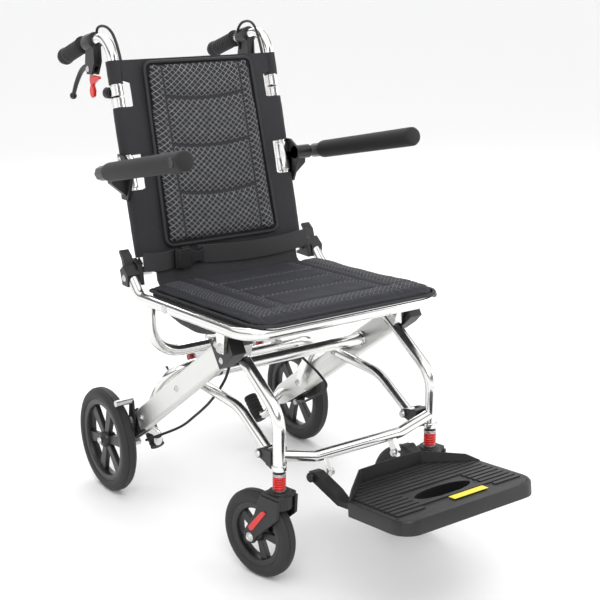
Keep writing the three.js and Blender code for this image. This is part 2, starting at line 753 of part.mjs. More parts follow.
// ---------------------------------------------------------------- footplate
function footplate() {
  const { half, rear, front } = FOOT;
  const topRear = 188; // height of the tread at its rear edge, before the tilt
  const thick = 22;
  const shape = new THREE.Shape();
  const wing = -398;
  shape.moveTo(-half + 30, front);
  shape.lineTo(half - 30, front);
  shape.quadraticCurveTo(half, front, half + 1, front + 34);
  shape.lineTo(half + 1, wing);
  shape.lineTo(64, rear);
  shape.lineTo(-64, rear);
  shape.lineTo(-half - 1, wing);
  shape.lineTo(-half - 1, front + 34);
  shape.quadraticCurveTo(-half, front, -half + 30, front);
  const plate = new THREE.ExtrudeGeometry(shape, { depth: thick, bevelEnabled: false, curveSegments: 5 });
  plate.translate(0, 0, topRear - thick);
  const hand = new THREE.Shape();
  hand.absellipse(0, 0, 54, 19, 0, 2 * Math.PI);
  const handHole = new THREE.ExtrudeGeometry(hand, { depth: 60, bevelEnabled: false, curveSegments: 8 });
  handHole.translate(0, -458, topRear - 40);
  // heel guard along the rear edge, its wings falling away to the sides
  const guardShape = outline([[-half - 1, wing], [-64, rear], [64, rear], [half + 1, wing]]);
  const guardOuter = new THREE.ExtrudeGeometry(guardShape, { depth: 11, bevelEnabled: false });
  const guardInner = new THREE.ExtrudeGeometry(
    outline([
      [-half - 20, wing - 12], [-half + 7, wing - 2], [-60, rear - 6],
      [60, rear - 6], [half - 7, wing - 2], [half + 20, wing - 12],
    ]),
    { depth: 40, bevelEnabled: false },
  );
  guardOuter.translate(0, 0, topRear - 1);
  guardInner.translate(0, 0, topRear - 0.01);
  const guard = cut(guardOuter, guardInner);
  const all = cut(join(plate, guard), handHole);
  return turned(all, -FOOT.tilt * DEG, rear, topRear);
}

// Two arms and the strip under the plate, one bent bracket.
function footBracket() {
  const { y, z } = FOOT.pivot;
  const t = -FOOT.tilt * DEG;
  const under = (py) => 188 - 21 - (py - FOOT.rear) * Math.tan(-t);
  const arm = (s) => {
    const bar = sidePlate(
      [
        [y + 9, z - 7], [y + 9, z + 7], [y - 5, z + 9], [-318, 174],
        [FOOT.rear + 2, under(FOOT.rear + 2) - 0.6], [-400, under(-400) - 0.6],
        [-400, under(-400) - 8], [-330, 154], [y - 4, z - 9],
      ],
      s * 84,
      s * 104,
    );
    return cut(bar, box(s * 60, s * 112, y - 5, y + 5, z - 5, z + 5));
  };
  const strip = sidePlate(
    [[-400, under(-400) - 0.6], [-376, under(-376) - 0.6], [-376, under(-376) - 8], [-400, under(-400) - 8]],
    -100,
    100,
  );
  return join(arm(-1), arm(1), strip);
}

// ---------------------------------------------------------------- brake cables
const CABLE_R = 2.4;
// Held along the back tube, from the brake clamp down to the seat.
function cableBack(s) {
  const x = s * (BACK.x - 17);
  return tube(
    [
      { p: v3(x, backY(725) + 22, 725) },
      { p: v3(x, backY(560) + 22, 560), r: 0 },
      { p: v3(x, backY(480) + 18, 480) },
    ],
    CABLE_R,
    8,
  );
}
// From the brake arm's barrel along the frame: the right one up to the brace, the left one in a loop.
const CABLE_END = v3(BEAM.x - 8, BRAKE[0] - 8, BRAKE[1] - 44);
const CABLE_X = 134;
const CABLE_PATH = {
  right: [[120, 143], [60, 185], [2, 232], [-46, 284], [-68, 325]],
  left: [[84, 150], [24, 194], [44, 214], [92, 230], [140, 246]],
};
function cableFrame(s) {
  const bend = s < 0 ? 60 : 14;
  const points = CABLE_PATH[sideName(s)];
  const path = points.map(([y, z], i) => ({ p: v3(s * CABLE_X, y, z), r: i < 4 ? bend : 0 }));
  const end = CABLE_END.clone().setX(s * CABLE_END.x);
  return tube([{ p: end }, ...path], CABLE_R, 8);
}

// ---------------------------------------------------------------- assembly
for (const s of [-1, 1]) {
  const side = sideName(s);
  const rearX = s * REAR_AXLE.x;
  const casterX = s * CASTER.x;
  const casterY = CASTER.y + CASTER.trail;
  add(`beam_${side}`, beam(s), SATIN);
  add(`hinge_block_${side}`, hingeBlock(s), BLACK);
  add(`axle_bracket_${side}`, axleBracket(s), BLACK);
  add(`brake_arm_${side}`, brakeArm(s), BLACK);
  add(`rear_tyre_${side}`, tyre(REAR_WHEEL, rearX, REAR_AXLE.y, REAR_AXLE.z, 24), RUBBER);
  add(`rear_rim_${side}`, rim(REAR_WHEEL, rearX, REAR_AXLE.y, REAR_AXLE.z, 6, 24, 5), BLACK);
  add(`clevis_${side}`, clevis(s), BLACK);
  add(`spring_${side}`, spring(s), RED);
  add(`fork_${side}`, swivelled(fork(s), s), BLACK);
  const casterTyre = tyre(CASTER_WHEEL, casterX, casterY, CASTER_WHEEL.r, 20);
  add(`caster_tyre_${side}`, swivelled(casterTyre, s), RUBBER);
  const casterRim = rim(CASTER_WHEEL, casterX, casterY, CASTER_WHEEL.r, 5, 20, 4);
  add(`caster_rim_${side}`, swivelled(casterRim, s), BLACK);
  add(`tipping_step_${side}`, tippingStep(s), BLACK);
  add(`stay_${side}`, stayFrame(s), POLISHED);
  add(`back_hinge_${side}`, backHinge(s), BLACK);
  add(`catch_${side}`, catchLever(s), RED);
  add(`handle_tube_${side}`, handleTube(s), POLISHED);
  add(`grip_${side}`, grip(s), RUBBER);
  add(`brake_clamp_${side}`, brakeClamp(s), BLACK);
  add(`brake_lever_${side}`, brakeLever(s), BLACK);
  add(`parking_lock_${side}`, parkingLock(s), RED);
  add(`arm_bracket_${side}`, armBracket(s), BLACK);
  add(`armrest_${side}`, armrest(s), RUBBER);
  add(`cable_back_${side}`, cableBack(s), RUBBER);
  add(`cable_frame_${side}`, cableFrame(s), RUBBER);
}
add('rear_hoop', rearHoop(), POLISHED);
add('beam_brace', brace(), POLISHED);
add('front_frame', frontFrame(), POLISHED);
add('seat_frame', seatFrame(), POLISHED);
add('seat_sling', seatPad(SLING, 40, -8, CUSHION.lift - GAP), FABRIC);
add('seat_cushion', seatPad(CUSHION, 40, CUSHION.lift, CUSHION.lift + CUSHION.thick), FABRIC);
add('back_frame', backFrame(), POLISHED);
add('back_upholstery', backSlab(150, UPHOLSTERY.bottom, UPHOLSTERY.top, -11, -6), FABRIC);
add('back_pad', backSlab(124, 474, 798, -24, -11.5), FABRIC);
add('belt_right', beltStrap(-176, -112.6), WEBBING);
add('belt_left', join(beltStrap(-64, 176), buckle()), WEBBING);
add('footplate', join(footplate(), footBracket()), BLACK);

export default chair;
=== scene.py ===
"""Looks for the transport wheelchair: every piece is built in chair millimetres around the frame."""
import math
from math import cos, exp, pi, radians, sin, sqrt

import bmesh
import bpy
import numpy as np
from mathutils import Matrix, Vector, noise


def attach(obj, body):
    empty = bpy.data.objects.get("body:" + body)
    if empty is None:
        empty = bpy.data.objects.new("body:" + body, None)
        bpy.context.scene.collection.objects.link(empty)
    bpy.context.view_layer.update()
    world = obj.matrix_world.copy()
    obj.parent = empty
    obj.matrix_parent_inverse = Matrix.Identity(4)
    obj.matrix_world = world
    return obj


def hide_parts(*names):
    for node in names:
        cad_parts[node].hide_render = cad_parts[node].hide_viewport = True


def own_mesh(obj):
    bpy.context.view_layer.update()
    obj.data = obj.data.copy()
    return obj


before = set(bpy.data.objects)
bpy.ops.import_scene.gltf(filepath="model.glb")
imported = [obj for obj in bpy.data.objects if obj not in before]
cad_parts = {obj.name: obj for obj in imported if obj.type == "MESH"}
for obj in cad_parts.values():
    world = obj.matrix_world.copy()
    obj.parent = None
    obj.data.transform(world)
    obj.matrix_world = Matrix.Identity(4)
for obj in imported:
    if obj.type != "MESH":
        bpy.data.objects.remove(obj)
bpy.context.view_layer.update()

# ------------------------------------------------------------ driving dimensions, in mm
ORIGIN_Y = 25.3
TUBE_R = 10.5
STAY_R = 9
FOLD = (-150, 384)
AXLE = (220, 243, 100)
CASTER = dict(x=158, y=-248, trail=45, swivel=12, r=75, width=27)
BEAM_X = 182
BACK_X = 166
BACK_FOOT = (172, 441)
RECLINE = 0.2537
SEAT_X, SEAT_FRONT, SEAT_Z, RAKE = 200, -230, 422, 0.053
FOOT_PIVOT = (-262, 178)
LEG_X = 158
STAY_X = 148
STAY_FOOT, STAY_HEAD = (-203, 214), (10, 268)
BRACE = (-36, 302)
HOOP_X = 170
ARM_X, ARM_PIVOT, ARM_TIP = 229, (190, 619), (-102, 680)
KNUCKLE_Z = 742  # height at which the push handles fold
CATCH = (76, 90, 305)
BRAKE_PIVOT = (352, 784)
BRAKE_ARM = (406, 8)  # along the beam and above its middle line
HAND_HOLE_Y = -458
SWELL_FRAMES = 20
FOOT_TILT = radians(7)
CABLE_R = 2.5
PAD_LOW, PAD_TOP = 474, 796
CUSHION = dict(front=-13, rear=348, half=186)
SIDES = {"right": -1, "left": 1}


def back_y(z):
    return BACK_FOOT[0] + RECLINE * (z - BACK_FOOT[1])


def seat_z(y):
    return SEAT_Z - RAKE * (y - SEAT_FRONT)


BEAM_DIR = Vector((AXLE[1] - FOLD[0], AXLE[2] - FOLD[1])).normalized()


def on_beam(along, up=0):
    y = FOLD[0] + along * BEAM_DIR.x - up * BEAM_DIR.y
    return (y, FOLD[1] + along * BEAM_DIR.y + up * BEAM_DIR.x)


def new_object(name, data):
    obj = bpy.data.objects.new(name, data)
    bpy.context.scene.collection.objects.link(obj)
    return obj


# ------------------------------------------------------------ materials
def principled(name, color, rough, metal=0.0, **sockets):
    mat = bpy.data.materials.new(name)
    mat.use_nodes = True
    shader = mat.node_tree.nodes["Principled BSDF"]
    shader.inputs["Base Color"].default_value = (*color, 1)
    shader.inputs["Roughness"].default_value = rough
    shader.inputs["Metallic"].default_value = metal
    for key, value in sockets.items():
        shader.inputs[key.replace("_", " ")].default_value = value
    return mat


def node(mat, kind, **inputs):
    n = mat.node_tree.nodes.new("ShaderNode" + kind)
    for key, value in inputs.items():
        if key in n.inputs:
            n.inputs[key].default_value = value
        else:
            setattr(n, key, value)
    return n


def link(mat, a, b):
    mat.node_tree.links.new(a, b)


def coords(mat):
    return node(mat, "TexCoord").outputs["Object"]


def socket(mat, name):
    return mat.node_tree.nodes["Principled BSDF"].inputs[name]


def noise_of(mat, scale, detail):
    tex = node(mat, "TexNoise", Scale=scale, Detail=detail)
    link(mat, coords(mat), tex.inputs["Vector"])
    return tex.outputs["Fac"]


def bumped(mat, height, strength, distance):
    bump = node(mat, "Bump", Strength=strength, Distance=distance)
    link(mat, height, bump.inputs["Height"])
    link(mat, bump.outputs["Normal"], socket(mat, "Normal"))
    return mat


def grain(mat, scale, strength, distance=0.0002, detail=4.0):
    """Fine noise bump over the surface."""
    return bumped(mat, noise_of(mat, scale, detail), strength, distance)


def mottled(mat, scale, low, high):
    """Roughness that varies softly between two values."""
    ramp = node(mat, "MapRange")
    ramp.inputs["To Min"].default_value = low
    ramp.inputs["To Max"].default_value = high
    link(mat, noise_of(mat, scale, 5.0), ramp.inputs["Value"])
    link(mat, ramp.outputs["Result"], socket(mat, "Roughness"))
    return mat


def math_node(mat, op, a, b=0.0, c=None):
    n = node(mat, "Math", operation=op)
    for i, v in enumerate([a, b] + ([c] if c is not None else [])):
        if isinstance(v, (int, float)):
            n.inputs[i].default_value = v
        else:
            link(mat, v, n.inputs[i])
    return n.outputs[0]


def woven(mat, pitch, strength=0.5):
    """Plain weave: crossed threads as bump."""
    axes = node(mat, "SeparateXYZ")
    link(mat, coords(mat), axes.inputs[0])
    k = 2 * pi / pitch
    warp = math_node(mat, "SINE", math_node(mat, "MULTIPLY", axes.outputs["X"], k))
    yz = math_node(mat, "ADD", axes.outputs["Y"], axes.outputs["Z"])
    weft = math_node(mat, "SINE", math_node(mat, "MULTIPLY", yz, k))
    return bumped(mat, math_node(mat, "MULTIPLY", warp, weft), strength, 0.0003)


def mesh_fabric(name, across, along, along_axis, ground, thread_color, plain=None, bow=0.0):
    """Open diamond mesh: grey threads over a black ground; plain is a mask that dims the threads, on the
    seat for its real smooth panels, on the back as painted shade along the seams.
    """
    mat = principled(name, (0.02, 0.02, 0.022), 0.75)
    axes = node(mat, "SeparateXYZ")
    link(mat, coords(mat), axes.inputs[0])
    u = math_node(mat, "DIVIDE", axes.outputs["X"], across)
    squared = math_node(mat, "MULTIPLY", axes.outputs["X"], axes.outputs["X"])
    bowed = math_node(mat, "MULTIPLY_ADD", squared, -bow, axes.outputs[along_axis])
    v = math_node(mat, "DIVIDE", bowed, along)
    thread = None
    for op in ("ADD", "SUBTRACT"):
        phase = math_node(mat, "FRACT", math_node(mat, op, u, v))
        off = math_node(mat, "ABSOLUTE", math_node(mat, "SUBTRACT", phase, 0.5))
        near = node(mat, "MapRange", interpolation_type="SMOOTHSTEP")
        near.inputs["From Min"].default_value = 0.085
        near.inputs["From Max"].default_value = 0.03
        link(mat, off, near.inputs["Value"])
        result = near.outputs["Result"]
        thread = result if thread is None else math_node(mat, "MAXIMUM", thread, result)
    uneven = math_node(mat, "MULTIPLY_ADD", noise_of(mat, 90.0, 3.0), 1.3, 0.1)
    thread = math_node(mat, "MULTIPLY", thread, math_node(mat, "MINIMUM", uneven, 1.0))
    # the mask dims threads: real smooth panels on the seat, painted seam shade on the back
    if plain:
        thread = math_node(mat, "MULTIPLY", thread, plain(mat, axes))
    mix = node(mat, "Mix", data_type="RGBA")
    link(mat, thread, mix.inputs["Factor"])
    mix.inputs[6].default_value = (*ground, 1)
    mix.inputs[7].default_value = (*thread_color, 1)
    link(mat, mix.outputs[2], socket(mat, "Base Color"))
    height = math_node(mat, "MULTIPLY_ADD", noise_of(mat, 1400.0, 2.0), 0.3, thread)
    return bumped(mat, height, 0.6, 0.0006)


def band(mat, value, low, high):
    above = math_node(mat, "GREATER_THAN", value, low)
    return math_node(mat, "MULTIPLY", above, math_node(mat, "LESS_THAN", value, high))


SIDE_BAND = (130, 166)  # mesh strip along each side of the seat
COLUMN = (94, 108)
FRONT_BAND = (22, 56)
ROWS = ((122, 136), (190, 202), (256, 266))


def seat_panels(mat, axes):
    """1 where the seat is mesh: side and front bands, two columns and three rows; 0 on smooth panels."""
    ax = math_node(mat, "MULTIPLY", math_node(mat, "ABSOLUTE", axes.outputs["X"]), 1000)
    u = math_node(mat, "MULTIPLY_ADD", axes.outputs["Y"], 1000, -SEAT_FRONT - ORIGIN_Y)
    inside = math_node(mat, "LESS_THAN", ax, 166)
    behind = math_node(mat, "GREATER_THAN", u, FRONT_BAND[0])
    found = math_node(mat, "MULTIPLY", band(mat, u, *FRONT_BAND), inside)
    for low, high in (SIDE_BAND, COLUMN):
        found = math_node(mat, "MAXIMUM", found,
                          math_node(mat, "MULTIPLY", band(mat, ax, low, high), behind))
    across = math_node(mat, "LESS_THAN", ax, COLUMN[0])
    for low, high in ROWS:
        found = math_node(mat, "MAXIMUM", found,
                          math_node(mat, "MULTIPLY", band(mat, u, low, high), across))
    return found


BACK_SEAMS = (735, 650, 565)
BACK_COLUMN = 82  # vertical seam of the back pad, from the middle
SEAM_BOW = 7
PAD_RISE = 4.7  # the pad's face stands this much higher than its tube heights


def back_seam_shade_mask(mat, axes):
    """1 on the back pad's mesh, falling to little along its sewn seams: the dimmed threads there are
    painted shade in the seam grooves.
    """
    x = math_node(mat, "MULTIPLY", axes.outputs["X"], 1000 / 80)
    bow = math_node(mat, "MULTIPLY", math_node(mat, "MULTIPLY", x, x), SEAM_BOW / 1000)
    level = math_node(mat, "SUBTRACT", axes.outputs["Z"], bow)
    ax = math_node(mat, "ABSOLUTE", axes.outputs["X"])
    within = math_node(mat, "LESS_THAN", ax, BACK_COLUMN / 1000)
    # threads fade along the vertical seam and the cross seams: painted shade in the seam grooves
    seam = math_node(mat, "COMPARE", ax, BACK_COLUMN / 1000, 0.002)
    for c in BACK_SEAMS:
        near = math_node(mat, "COMPARE", level, (c - SEAM_BOW + PAD_RISE) / 1000, 0.0032)
        seam = math_node(mat, "MAXIMUM", seam, math_node(mat, "MULTIPLY", near, within))
    return math_node(mat, "SUBTRACT", 1.0, math_node(mat, "MULTIPLY", seam, 0.9))


POLISHED = mottled(principled("polished_aluminium", (0.80, 0.80, 0.79), 0.16, 1.0), 60.0, 0.1, 0.24)
SATIN = mottled(grain(principled("satin_aluminium", (0.74, 0.74, 0.72), 0.4, 1.0), 900.0, 0.15), 40.0,
                0.34, 0.46)
ZINC = mottled(principled("zinc_steel", (0.62, 0.62, 0.62), 0.3, 1.0), 200.0, 0.22, 0.4)
PLASTIC = mottled(grain(principled("black_nylon", (0.008, 0.008, 0.009), 0.42), 1500.0, 0.25), 80.0, 0.36,
                  0.5)
RIM = mottled(grain(principled("black_rim", (0.010, 0.010, 0.011), 0.35), 900.0, 0.15), 60.0, 0.28, 0.42)
TYRE = grain(principled("grey_black_tyre", (0.014, 0.014, 0.015), 0.62), 500.0, 0.3)
FOAM = grain(principled("black_foam", (0.010, 0.010, 0.011), 0.78, Sheen_Weight=0.04), 1800.0, 0.6)
RED = mottled(principled("red_plastic", (0.62, 0.012, 0.010), 0.3, Coat_Weight=0.3), 70.0, 0.22, 0.36)
CANVAS = woven(principled("black_canvas", (0.011, 0.011, 0.014), 0.72, Sheen_Weight=0.06), 0.0016)
WEBBING = woven(principled("black_webbing", (0.019, 0.019, 0.021), 0.6, Sheen_Weight=0.04), 0.0030, 0.9)
PIPING = grain(principled("black_piping", (0.010, 0.010, 0.012), 0.6), 900.0, 0.3)
# the back mesh's threads are dimmed along its seams as painted shade
BACK_MESH = mesh_fabric("back_mesh", 0.0125, 0.0105, "Z", (0.009, 0.009, 0.011), (0.30, 0.30, 0.31),
                        back_seam_shade_mask, bow=0.9)
SEAT_MESH = mesh_fabric("seat_mesh", 0.0095, 0.0095, "Y", (0.014, 0.0145, 0.020), (0.17, 0.17, 0.185),
                        seat_panels)
YELLOW = grain(principled("plain_yellow_strip", (0.85, 0.74, 0.05), 0.5), 400.0, 0.1)
DARK_RED = mottled(principled("dark_red_plastic", (0.30, 0.010, 0.014), 0.35), 70.0, 0.26, 0.42)


# ------------------------------------------------------------ mesh helpers
def rounded(points, radii, step=7):
    """Stations along a polyline whose inner corners are rounded."""
    pts = [Vector(p) for p in points]
    out = [pts[0]]
    for i in range(1, len(pts) - 1):
        r = radii[i - 1] if i - 1 < len(radii) else 0
        back = (pts[i - 1] - pts[i]).normalized()
        ahead = (pts[i + 1] - pts[i]).normalized()
        inner = back.angle(ahead)
        if not r or inner > radians(178):
            out.append(pts[i])
            continue
        centre = (back + ahead).normalized() * (r / sin(inner / 2)) + pts[i]
        a = pts[i] + back * (r / math.tan(inner / 2)) - centre
        b = pts[i] + ahead * (r / math.tan(inner / 2)) - centre
        sweep = a.angle(b)
        axis = a.cross(b).normalized()
        n = max(2, math.ceil(math.degrees(sweep) / step))
        out += [Matrix.Rotation(sweep * k / n, 3, axis) @ a + centre for k in range(n + 1)]
    out.append(pts[-1])
    return out


def smooth_path(points, per=8):
    """Catmull-Rom curve through points."""
    p = [Vector(q) for q in points]
    p = [2 * p[0] - p[1]] + p + [2 * p[-1] - p[-2]]
    out = []
    for i in range(1, len(p) - 2):
        for k in range(per):
            t = k / per
            a = 2 * p[i]
            b = (p[i + 1] - p[i - 1]) * t
            c = (2 * p[i - 1] - 5 * p[i] + 4 * p[i + 1] - p[i + 2]) * t * t
            d = (3 * p[i] - p[i - 1] - 3 * p[i + 1] + p[i + 2]) * t**3
            out.append((a + b + c + d) / 2)
    out.append(p[-2])
    return out


def frames(stations):
    """A turning frame (tangent, normal, side) at each station, without twist."""
    n = len(stations)
    tangents = []
    for i in range(n):
        a = stations[max(i - 1, 0)]
        b = stations[i]
        c = stations[min(i + 1, n - 1)]
        tangents.append(((c - b).normalized() + (b - a).normalized()).normalized())
    up = Vector((1, 0, 0)) if abs(tangents[0].x) < 0.8 else Vector((0, 0, 1))
    normal = (up - tangents[0] * up.dot(tangents[0])).normalized()
    out = []
    for t in tangents:
        normal = (normal - t * normal.dot(t)).normalized()
        out.append((t, normal, t.cross(normal)))
    return out


def circle(r, sides):
    turns = [2 * pi * k / sides for k in range(sides)]
    return [(r * cos(t), r * sin(t)) for t in turns]


def ring_faces(count, n, closed=False):
    """Quads joining count rings of n points each; closed also joins the last ring to the first."""
    pairs = [(i * n, (i + 1) % count * n) for i in range(count if closed else count - 1)]
    return [(a + j, a + (j + 1) % n, b + (j + 1) % n, b + j) for a, b in pairs for j in range(n)]


def collar(inner, outer, length):
    """Lathe profile of a plain sleeve."""
    return [(inner, 0), (outer, 0), (outer, length), (inner, length), (inner, 0)]


def plug(r, length):
    """Lathe profile of a plain round pin."""
    return [(0, 0), (r, 0), (r, length), (0, length)]


def cap(r, length, top):
    """Lathe profile of a pin with a chamfered end."""
    return [(0, 0), (r, 0), (r, length), (r - 2, top), (0, top)]


class Shape:
    """Surfaces in chair millimetres, joined into one piece."""

    def __init__(self):
        self.verts, self.faces, self.mats, self.smooth = [], [], [], []

    def add(self, verts, faces, mat=0, smooth=True):
        base = len(self.verts)
        self.verts += [tuple(v) for v in verts]
        self.faces += [tuple(base + i for i in f) for f in faces]
        self.mats += [mat] * len(faces)
        self.smooth += [smooth] * len(faces)
        return self

    def sweep(self, stations, section, mat=0, scale=None):
        """A closed section of (normal, side) points along stations, capped at both ends."""
        n = len(section)
        verts = []
        for i, (p, (_, a, b)) in enumerate(zip(stations, frames(stations))):
            k = scale[i] if scale else 1
            verts += [p + a * (u * k) + b * (v * k) for u, v in section]
        faces = ring_faces(len(stations), n)
        faces.append(tuple(range(n))[::-1])
        last = (len(stations) - 1) * n
        faces.append(tuple(last + j for j in range(n)))
        return self.add(verts, faces, mat)

    def tube(self, points, r, radii=(), sides=24, mat=0):
        return self.sweep(rounded(points, radii), circle(r, sides), mat)

    def curve(self, stations, r, sides=12, mat=0, scale=None):
        return self.sweep(stations, circle(r, sides), mat, scale)

    def lathe(self, profile, origin, axis, segments=40, mat=0):
        """profile: (radius, distance along axis). Closed when it ends where it began."""
        axis = Vector(axis).normalized()
        side = axis.orthogonal().normalized()
        other = axis.cross(side)
        ring = profile[0] == profile[-1]
        rows = profile[:-1] if ring else profile
        verts = []
        for r, h in rows:
            for k in range(segments):
                a = 2 * pi * k / segments
                out = side * cos(a) + other * sin(a)
                verts.append(Vector(origin) + axis * h + out * max(r, 0.01))
        count = len(rows)
        faces = ring_faces(count, segments, ring)
        if not ring:
            faces.append(tuple(range(segments))[::-1])
            faces.append(tuple((count - 1) * segments + k for k in range(segments)))
        return self.add(verts, faces, mat)

    def prism(self, outline, lo, hi, plane="yz", mat=0, smooth=True):
        """An outline in a plane, extruded between lo and hi along the third axis."""
        def place(a, b, c):
            return {"yz": (c, a, b), "xz": (a, c, b), "xy": (a, b, c)}[plane]

        n = len(outline)
        verts = [place(a, b, lo) for a, b in outline] + [place(a, b, hi) for a, b in outline]
        faces = [tuple(range(n)), tuple(range(n, 2 * n))[::-1]]
        faces += ring_faces(2, n)
        return self.add(verts, faces, mat, smooth)

    def box(self, x0, x1, y0, y1, z0, z1, mat=0):
        return self.prism([(y0, z0), (y1, z0), (y1, z1), (y0, z1)], x0, x1, "yz", mat)

    def bolt(self, origin, axis, r=6, mat=0):
        """Domed bolt head with a round recess."""
        head = [(r, 0.4), (r * 0.9, r * 0.45), (r * 0.5, r * 0.6), (r * 0.48, r * 0.3), (0, r * 0.3)]
        return self.lathe([(0, -2), (r + 2, -2), (r + 2, 0)] + head, origin, axis, 24, mat)

    def spun(self, start, angle, pivot, first, second):
        """Turns what was added since index start about pivot, in the plane of two axes."""
        c, s = cos(angle), sin(angle)
        for i in range(start, len(self.verts)):
            p = list(self.verts[i])
            a, b = p[first] - pivot[0], p[second] - pivot[1]
            p[first], p[second] = pivot[0] + a * c - b * s, pivot[1] + a * s + b * c
            self.verts[i] = tuple(p)
        return self

    def turned(self, start, angle, pivot):
        """About an X axis through pivot (y, z)."""
        return self.spun(start, angle, pivot, 1, 2)

    def swivelled(self, angle, pivot):
        """All of it, about a vertical axis through pivot (x, y)."""
        return self.spun(0, angle, pivot, 0, 1)

    def build(self, name, mats, body=None, replaces=(), slot=None, bevel=0.0, sharp=38):
        mesh = bpy.data.meshes.new(name)
        verts = [(x / 1000, (y + ORIGIN_Y) / 1000, z / 1000) for x, y, z in self.verts]
        mesh.from_pydata(verts, [], self.faces)
        mats = mats if isinstance(mats, (list, tuple)) else [mats]
        for m in mats:
            mesh.materials.append(m)
        mesh.polygons.foreach_set("material_index", self.mats)
        mesh.polygons.foreach_set("use_smooth", self.smooth)
        bm = bmesh.new()
        bm.from_mesh(mesh)
        bmesh.ops.remove_doubles(bm, verts=bm.verts, dist=1e-6)
        bmesh.ops.recalc_face_normals(bm, faces=bm.faces)
        for e in bm.edges:
            e.smooth = len(e.link_faces) != 2 or e.calc_face_angle(0) < radians(sharp)
        bm.to_mesh(mesh)
        bm.free()
        obj = new_object(name, mesh)
        if bevel:
            mod = obj.modifiers.new("edge", "BEVEL")
            mod.width = bevel / 1000
            mod.segments = 2
            mod.limit_method = "ANGLE"
            mod.angle_limit = radians(40)
        if body:
            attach(obj, body)
        if replaces:
            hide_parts(*replaces)
        return obj


# ------------------------------------------------------------ frame tubes
def front_frame():
    s = Shape()
    lx, ly = LEG_X, CASTER["y"]
    for g in (-1, 1):
        s.tube([(g * lx, -124, 372), (g * lx, ly, 293), (g * lx, ly, 208)], TUBE_R, [55])
        s.prism([(-162, 384), (-156, 396), (-142, 396), (-118, 380), (-118, 366), (-150, 350)], g * 149,
                g * 167)
        s.lathe(plug(8, 4), (g * 145, *FOLD), (-g, 0, 0), 6, 1)
        tab = [(-250, 210), (-238, 196), (-255, 173), (-267, 171), (-269, 183)]
        s.prism(tab, g * 68, g * 76)
        s.lathe(cap(6, 4, 5), (g * 66, *FOOT_PIVOT), (-g, 0, 0), 20, 1)
        s.lathe([(0, 0), (12, 0), (12.4, 3), (12, 9), (0, 9)], (g * lx, ly, 208), (0, 0, -1), 32)
        s.lathe([(0, 9), (9.5, 9), (9.5, 14), (0, 14)], (g * lx, ly, 208), (0, 0, -1), 32, 2)
        s.lathe([(0, 14), (11, 14), (11, 16), (6.2, 16), (6.2, 54), (0, 54)], (g * lx, ly, 208),
                (0, 0, -1), 32, 1)
    s.tube([(-lx, ly, 224), (-88, ly, 205), (88, ly, 205), (lx, ly, 224)], 9.5, [40, 40])
    s.build("front_leg_frame", [POLISHED, ZINC, RIM], "front_frame", ["front_frame"], "polished_tube",
            0.6)


def seat_frame():
    s = Shape()
    end = [(160, 437), (126, seat_z(126))]
    x, f = SEAT_X, (SEAT_FRONT, seat_z(SEAT_FRONT))
    s.tube([(-x, *end[0]), (-x, *end[1]), (-x, *f), (x, *f), (x, *end[1]), (x, *end[0])], TUBE_R,
           [40, 48, 48, 40], 28)
    s.tube([(-x, 90, seat_z(90)), (-x, 90, 305), (x, 90, 305), (x, 90, seat_z(90))], TUBE_R, [60, 60], 28)
    for g in (-1, 1):
        y, z = FOLD
        s.prism([(y - 14, 416), (y - 9, z - 8), (y + 9, z - 8), (y + 14, 416)], g * 197, g * 204)
        s.bolt((g * 205, y, z), (g, 0, 0), 7, 1)
        s.lathe([(0, 0), (8, 0), (8, 1.6), (3, 2.2), (0, 2.2)], (g * (x + TUBE_R - 0.5), 20, seat_z(20)),
                (g, 0, 0), 16, 1)
    s.build("seat_loop", [POLISHED, ZINC], "seat_frame", ["seat_frame"], "polished_tube", 0.6)


def rear_frame():
    s = Shape()
    foot = on_beam(368, 17)
    s.tube([(-HOOP_X, *foot), (-HOOP_X, 88, 274), (HOOP_X, 88, 274), (HOOP_X, *foot)], STAY_R, [55, 55])
    for g in (-1, 1):
        s.prism([(95, 262), (111, 272), (162, 160), (149, 154)], g * 158, g * 163)
        for y, z in ((104, 262), (155, 162)):
            s.bolt((g * 157.5, y, z), (-g, 0, 0), 5, 1)
    s.build("rear_hoop_tube", [POLISHED, ZINC], "rear_frame", ["rear_hoop"], "polished_tube", 0.5)
    b = Shape()
    b.tube([(-HOOP_X, *BRACE), (HOOP_X, *BRACE)], TUBE_R)
    for g in (-1, 1):
        b.lathe([(0, 0), (14, 0), (14, 3), (TUBE_R, 4), (0, 4)], (g * (HOOP_X + 0.4), *BRACE), (-g, 0, 0),
                28)
    b.build("brace_tube", POLISHED, "rear_frame", ["beam_brace"], "polished_tube")


def beam(side, g):
    s = Shape()
    a, b = on_beam(26), on_beam(392)
    r, w, h = 6, 11, 21
    section = []
    cw, ch = w - r, h - r
    for cu, cv, start in ((cw, ch, 0), (-cw, ch, 90), (-cw, -ch, 180), (cw, -ch, 270)):
        for k in range(6):
            t = radians(start + 18 * k)
            section.append((cu + r * cos(t), cv + r * sin(t)))
    s.sweep([Vector((g * BEAM_X, *a)), Vector((g * BEAM_X, *b))], section)
    face = g * (BEAM_X - 11)
    slot = [on_beam(184, -6), on_beam(356, -6), on_beam(356, 6), on_beam(184, 6)]
    s.prism(slot, face - g * 0.3, face + g * 1, mat=1)
    for along in (206, 372):
        y, z = on_beam(along, 0)
        s.bolt((g * (BEAM_X + 11.3), y, z), (g, 0, 0), 4.5, 2)
    s.bolt((face - g * 0.3, *BRACE), (-g, 0, 0), 3, 2)
    s.build(f"beam_bar_{side}", [SATIN, ZINC, ZINC], "rear_frame", [f"beam_{side}"], "satin_beam")


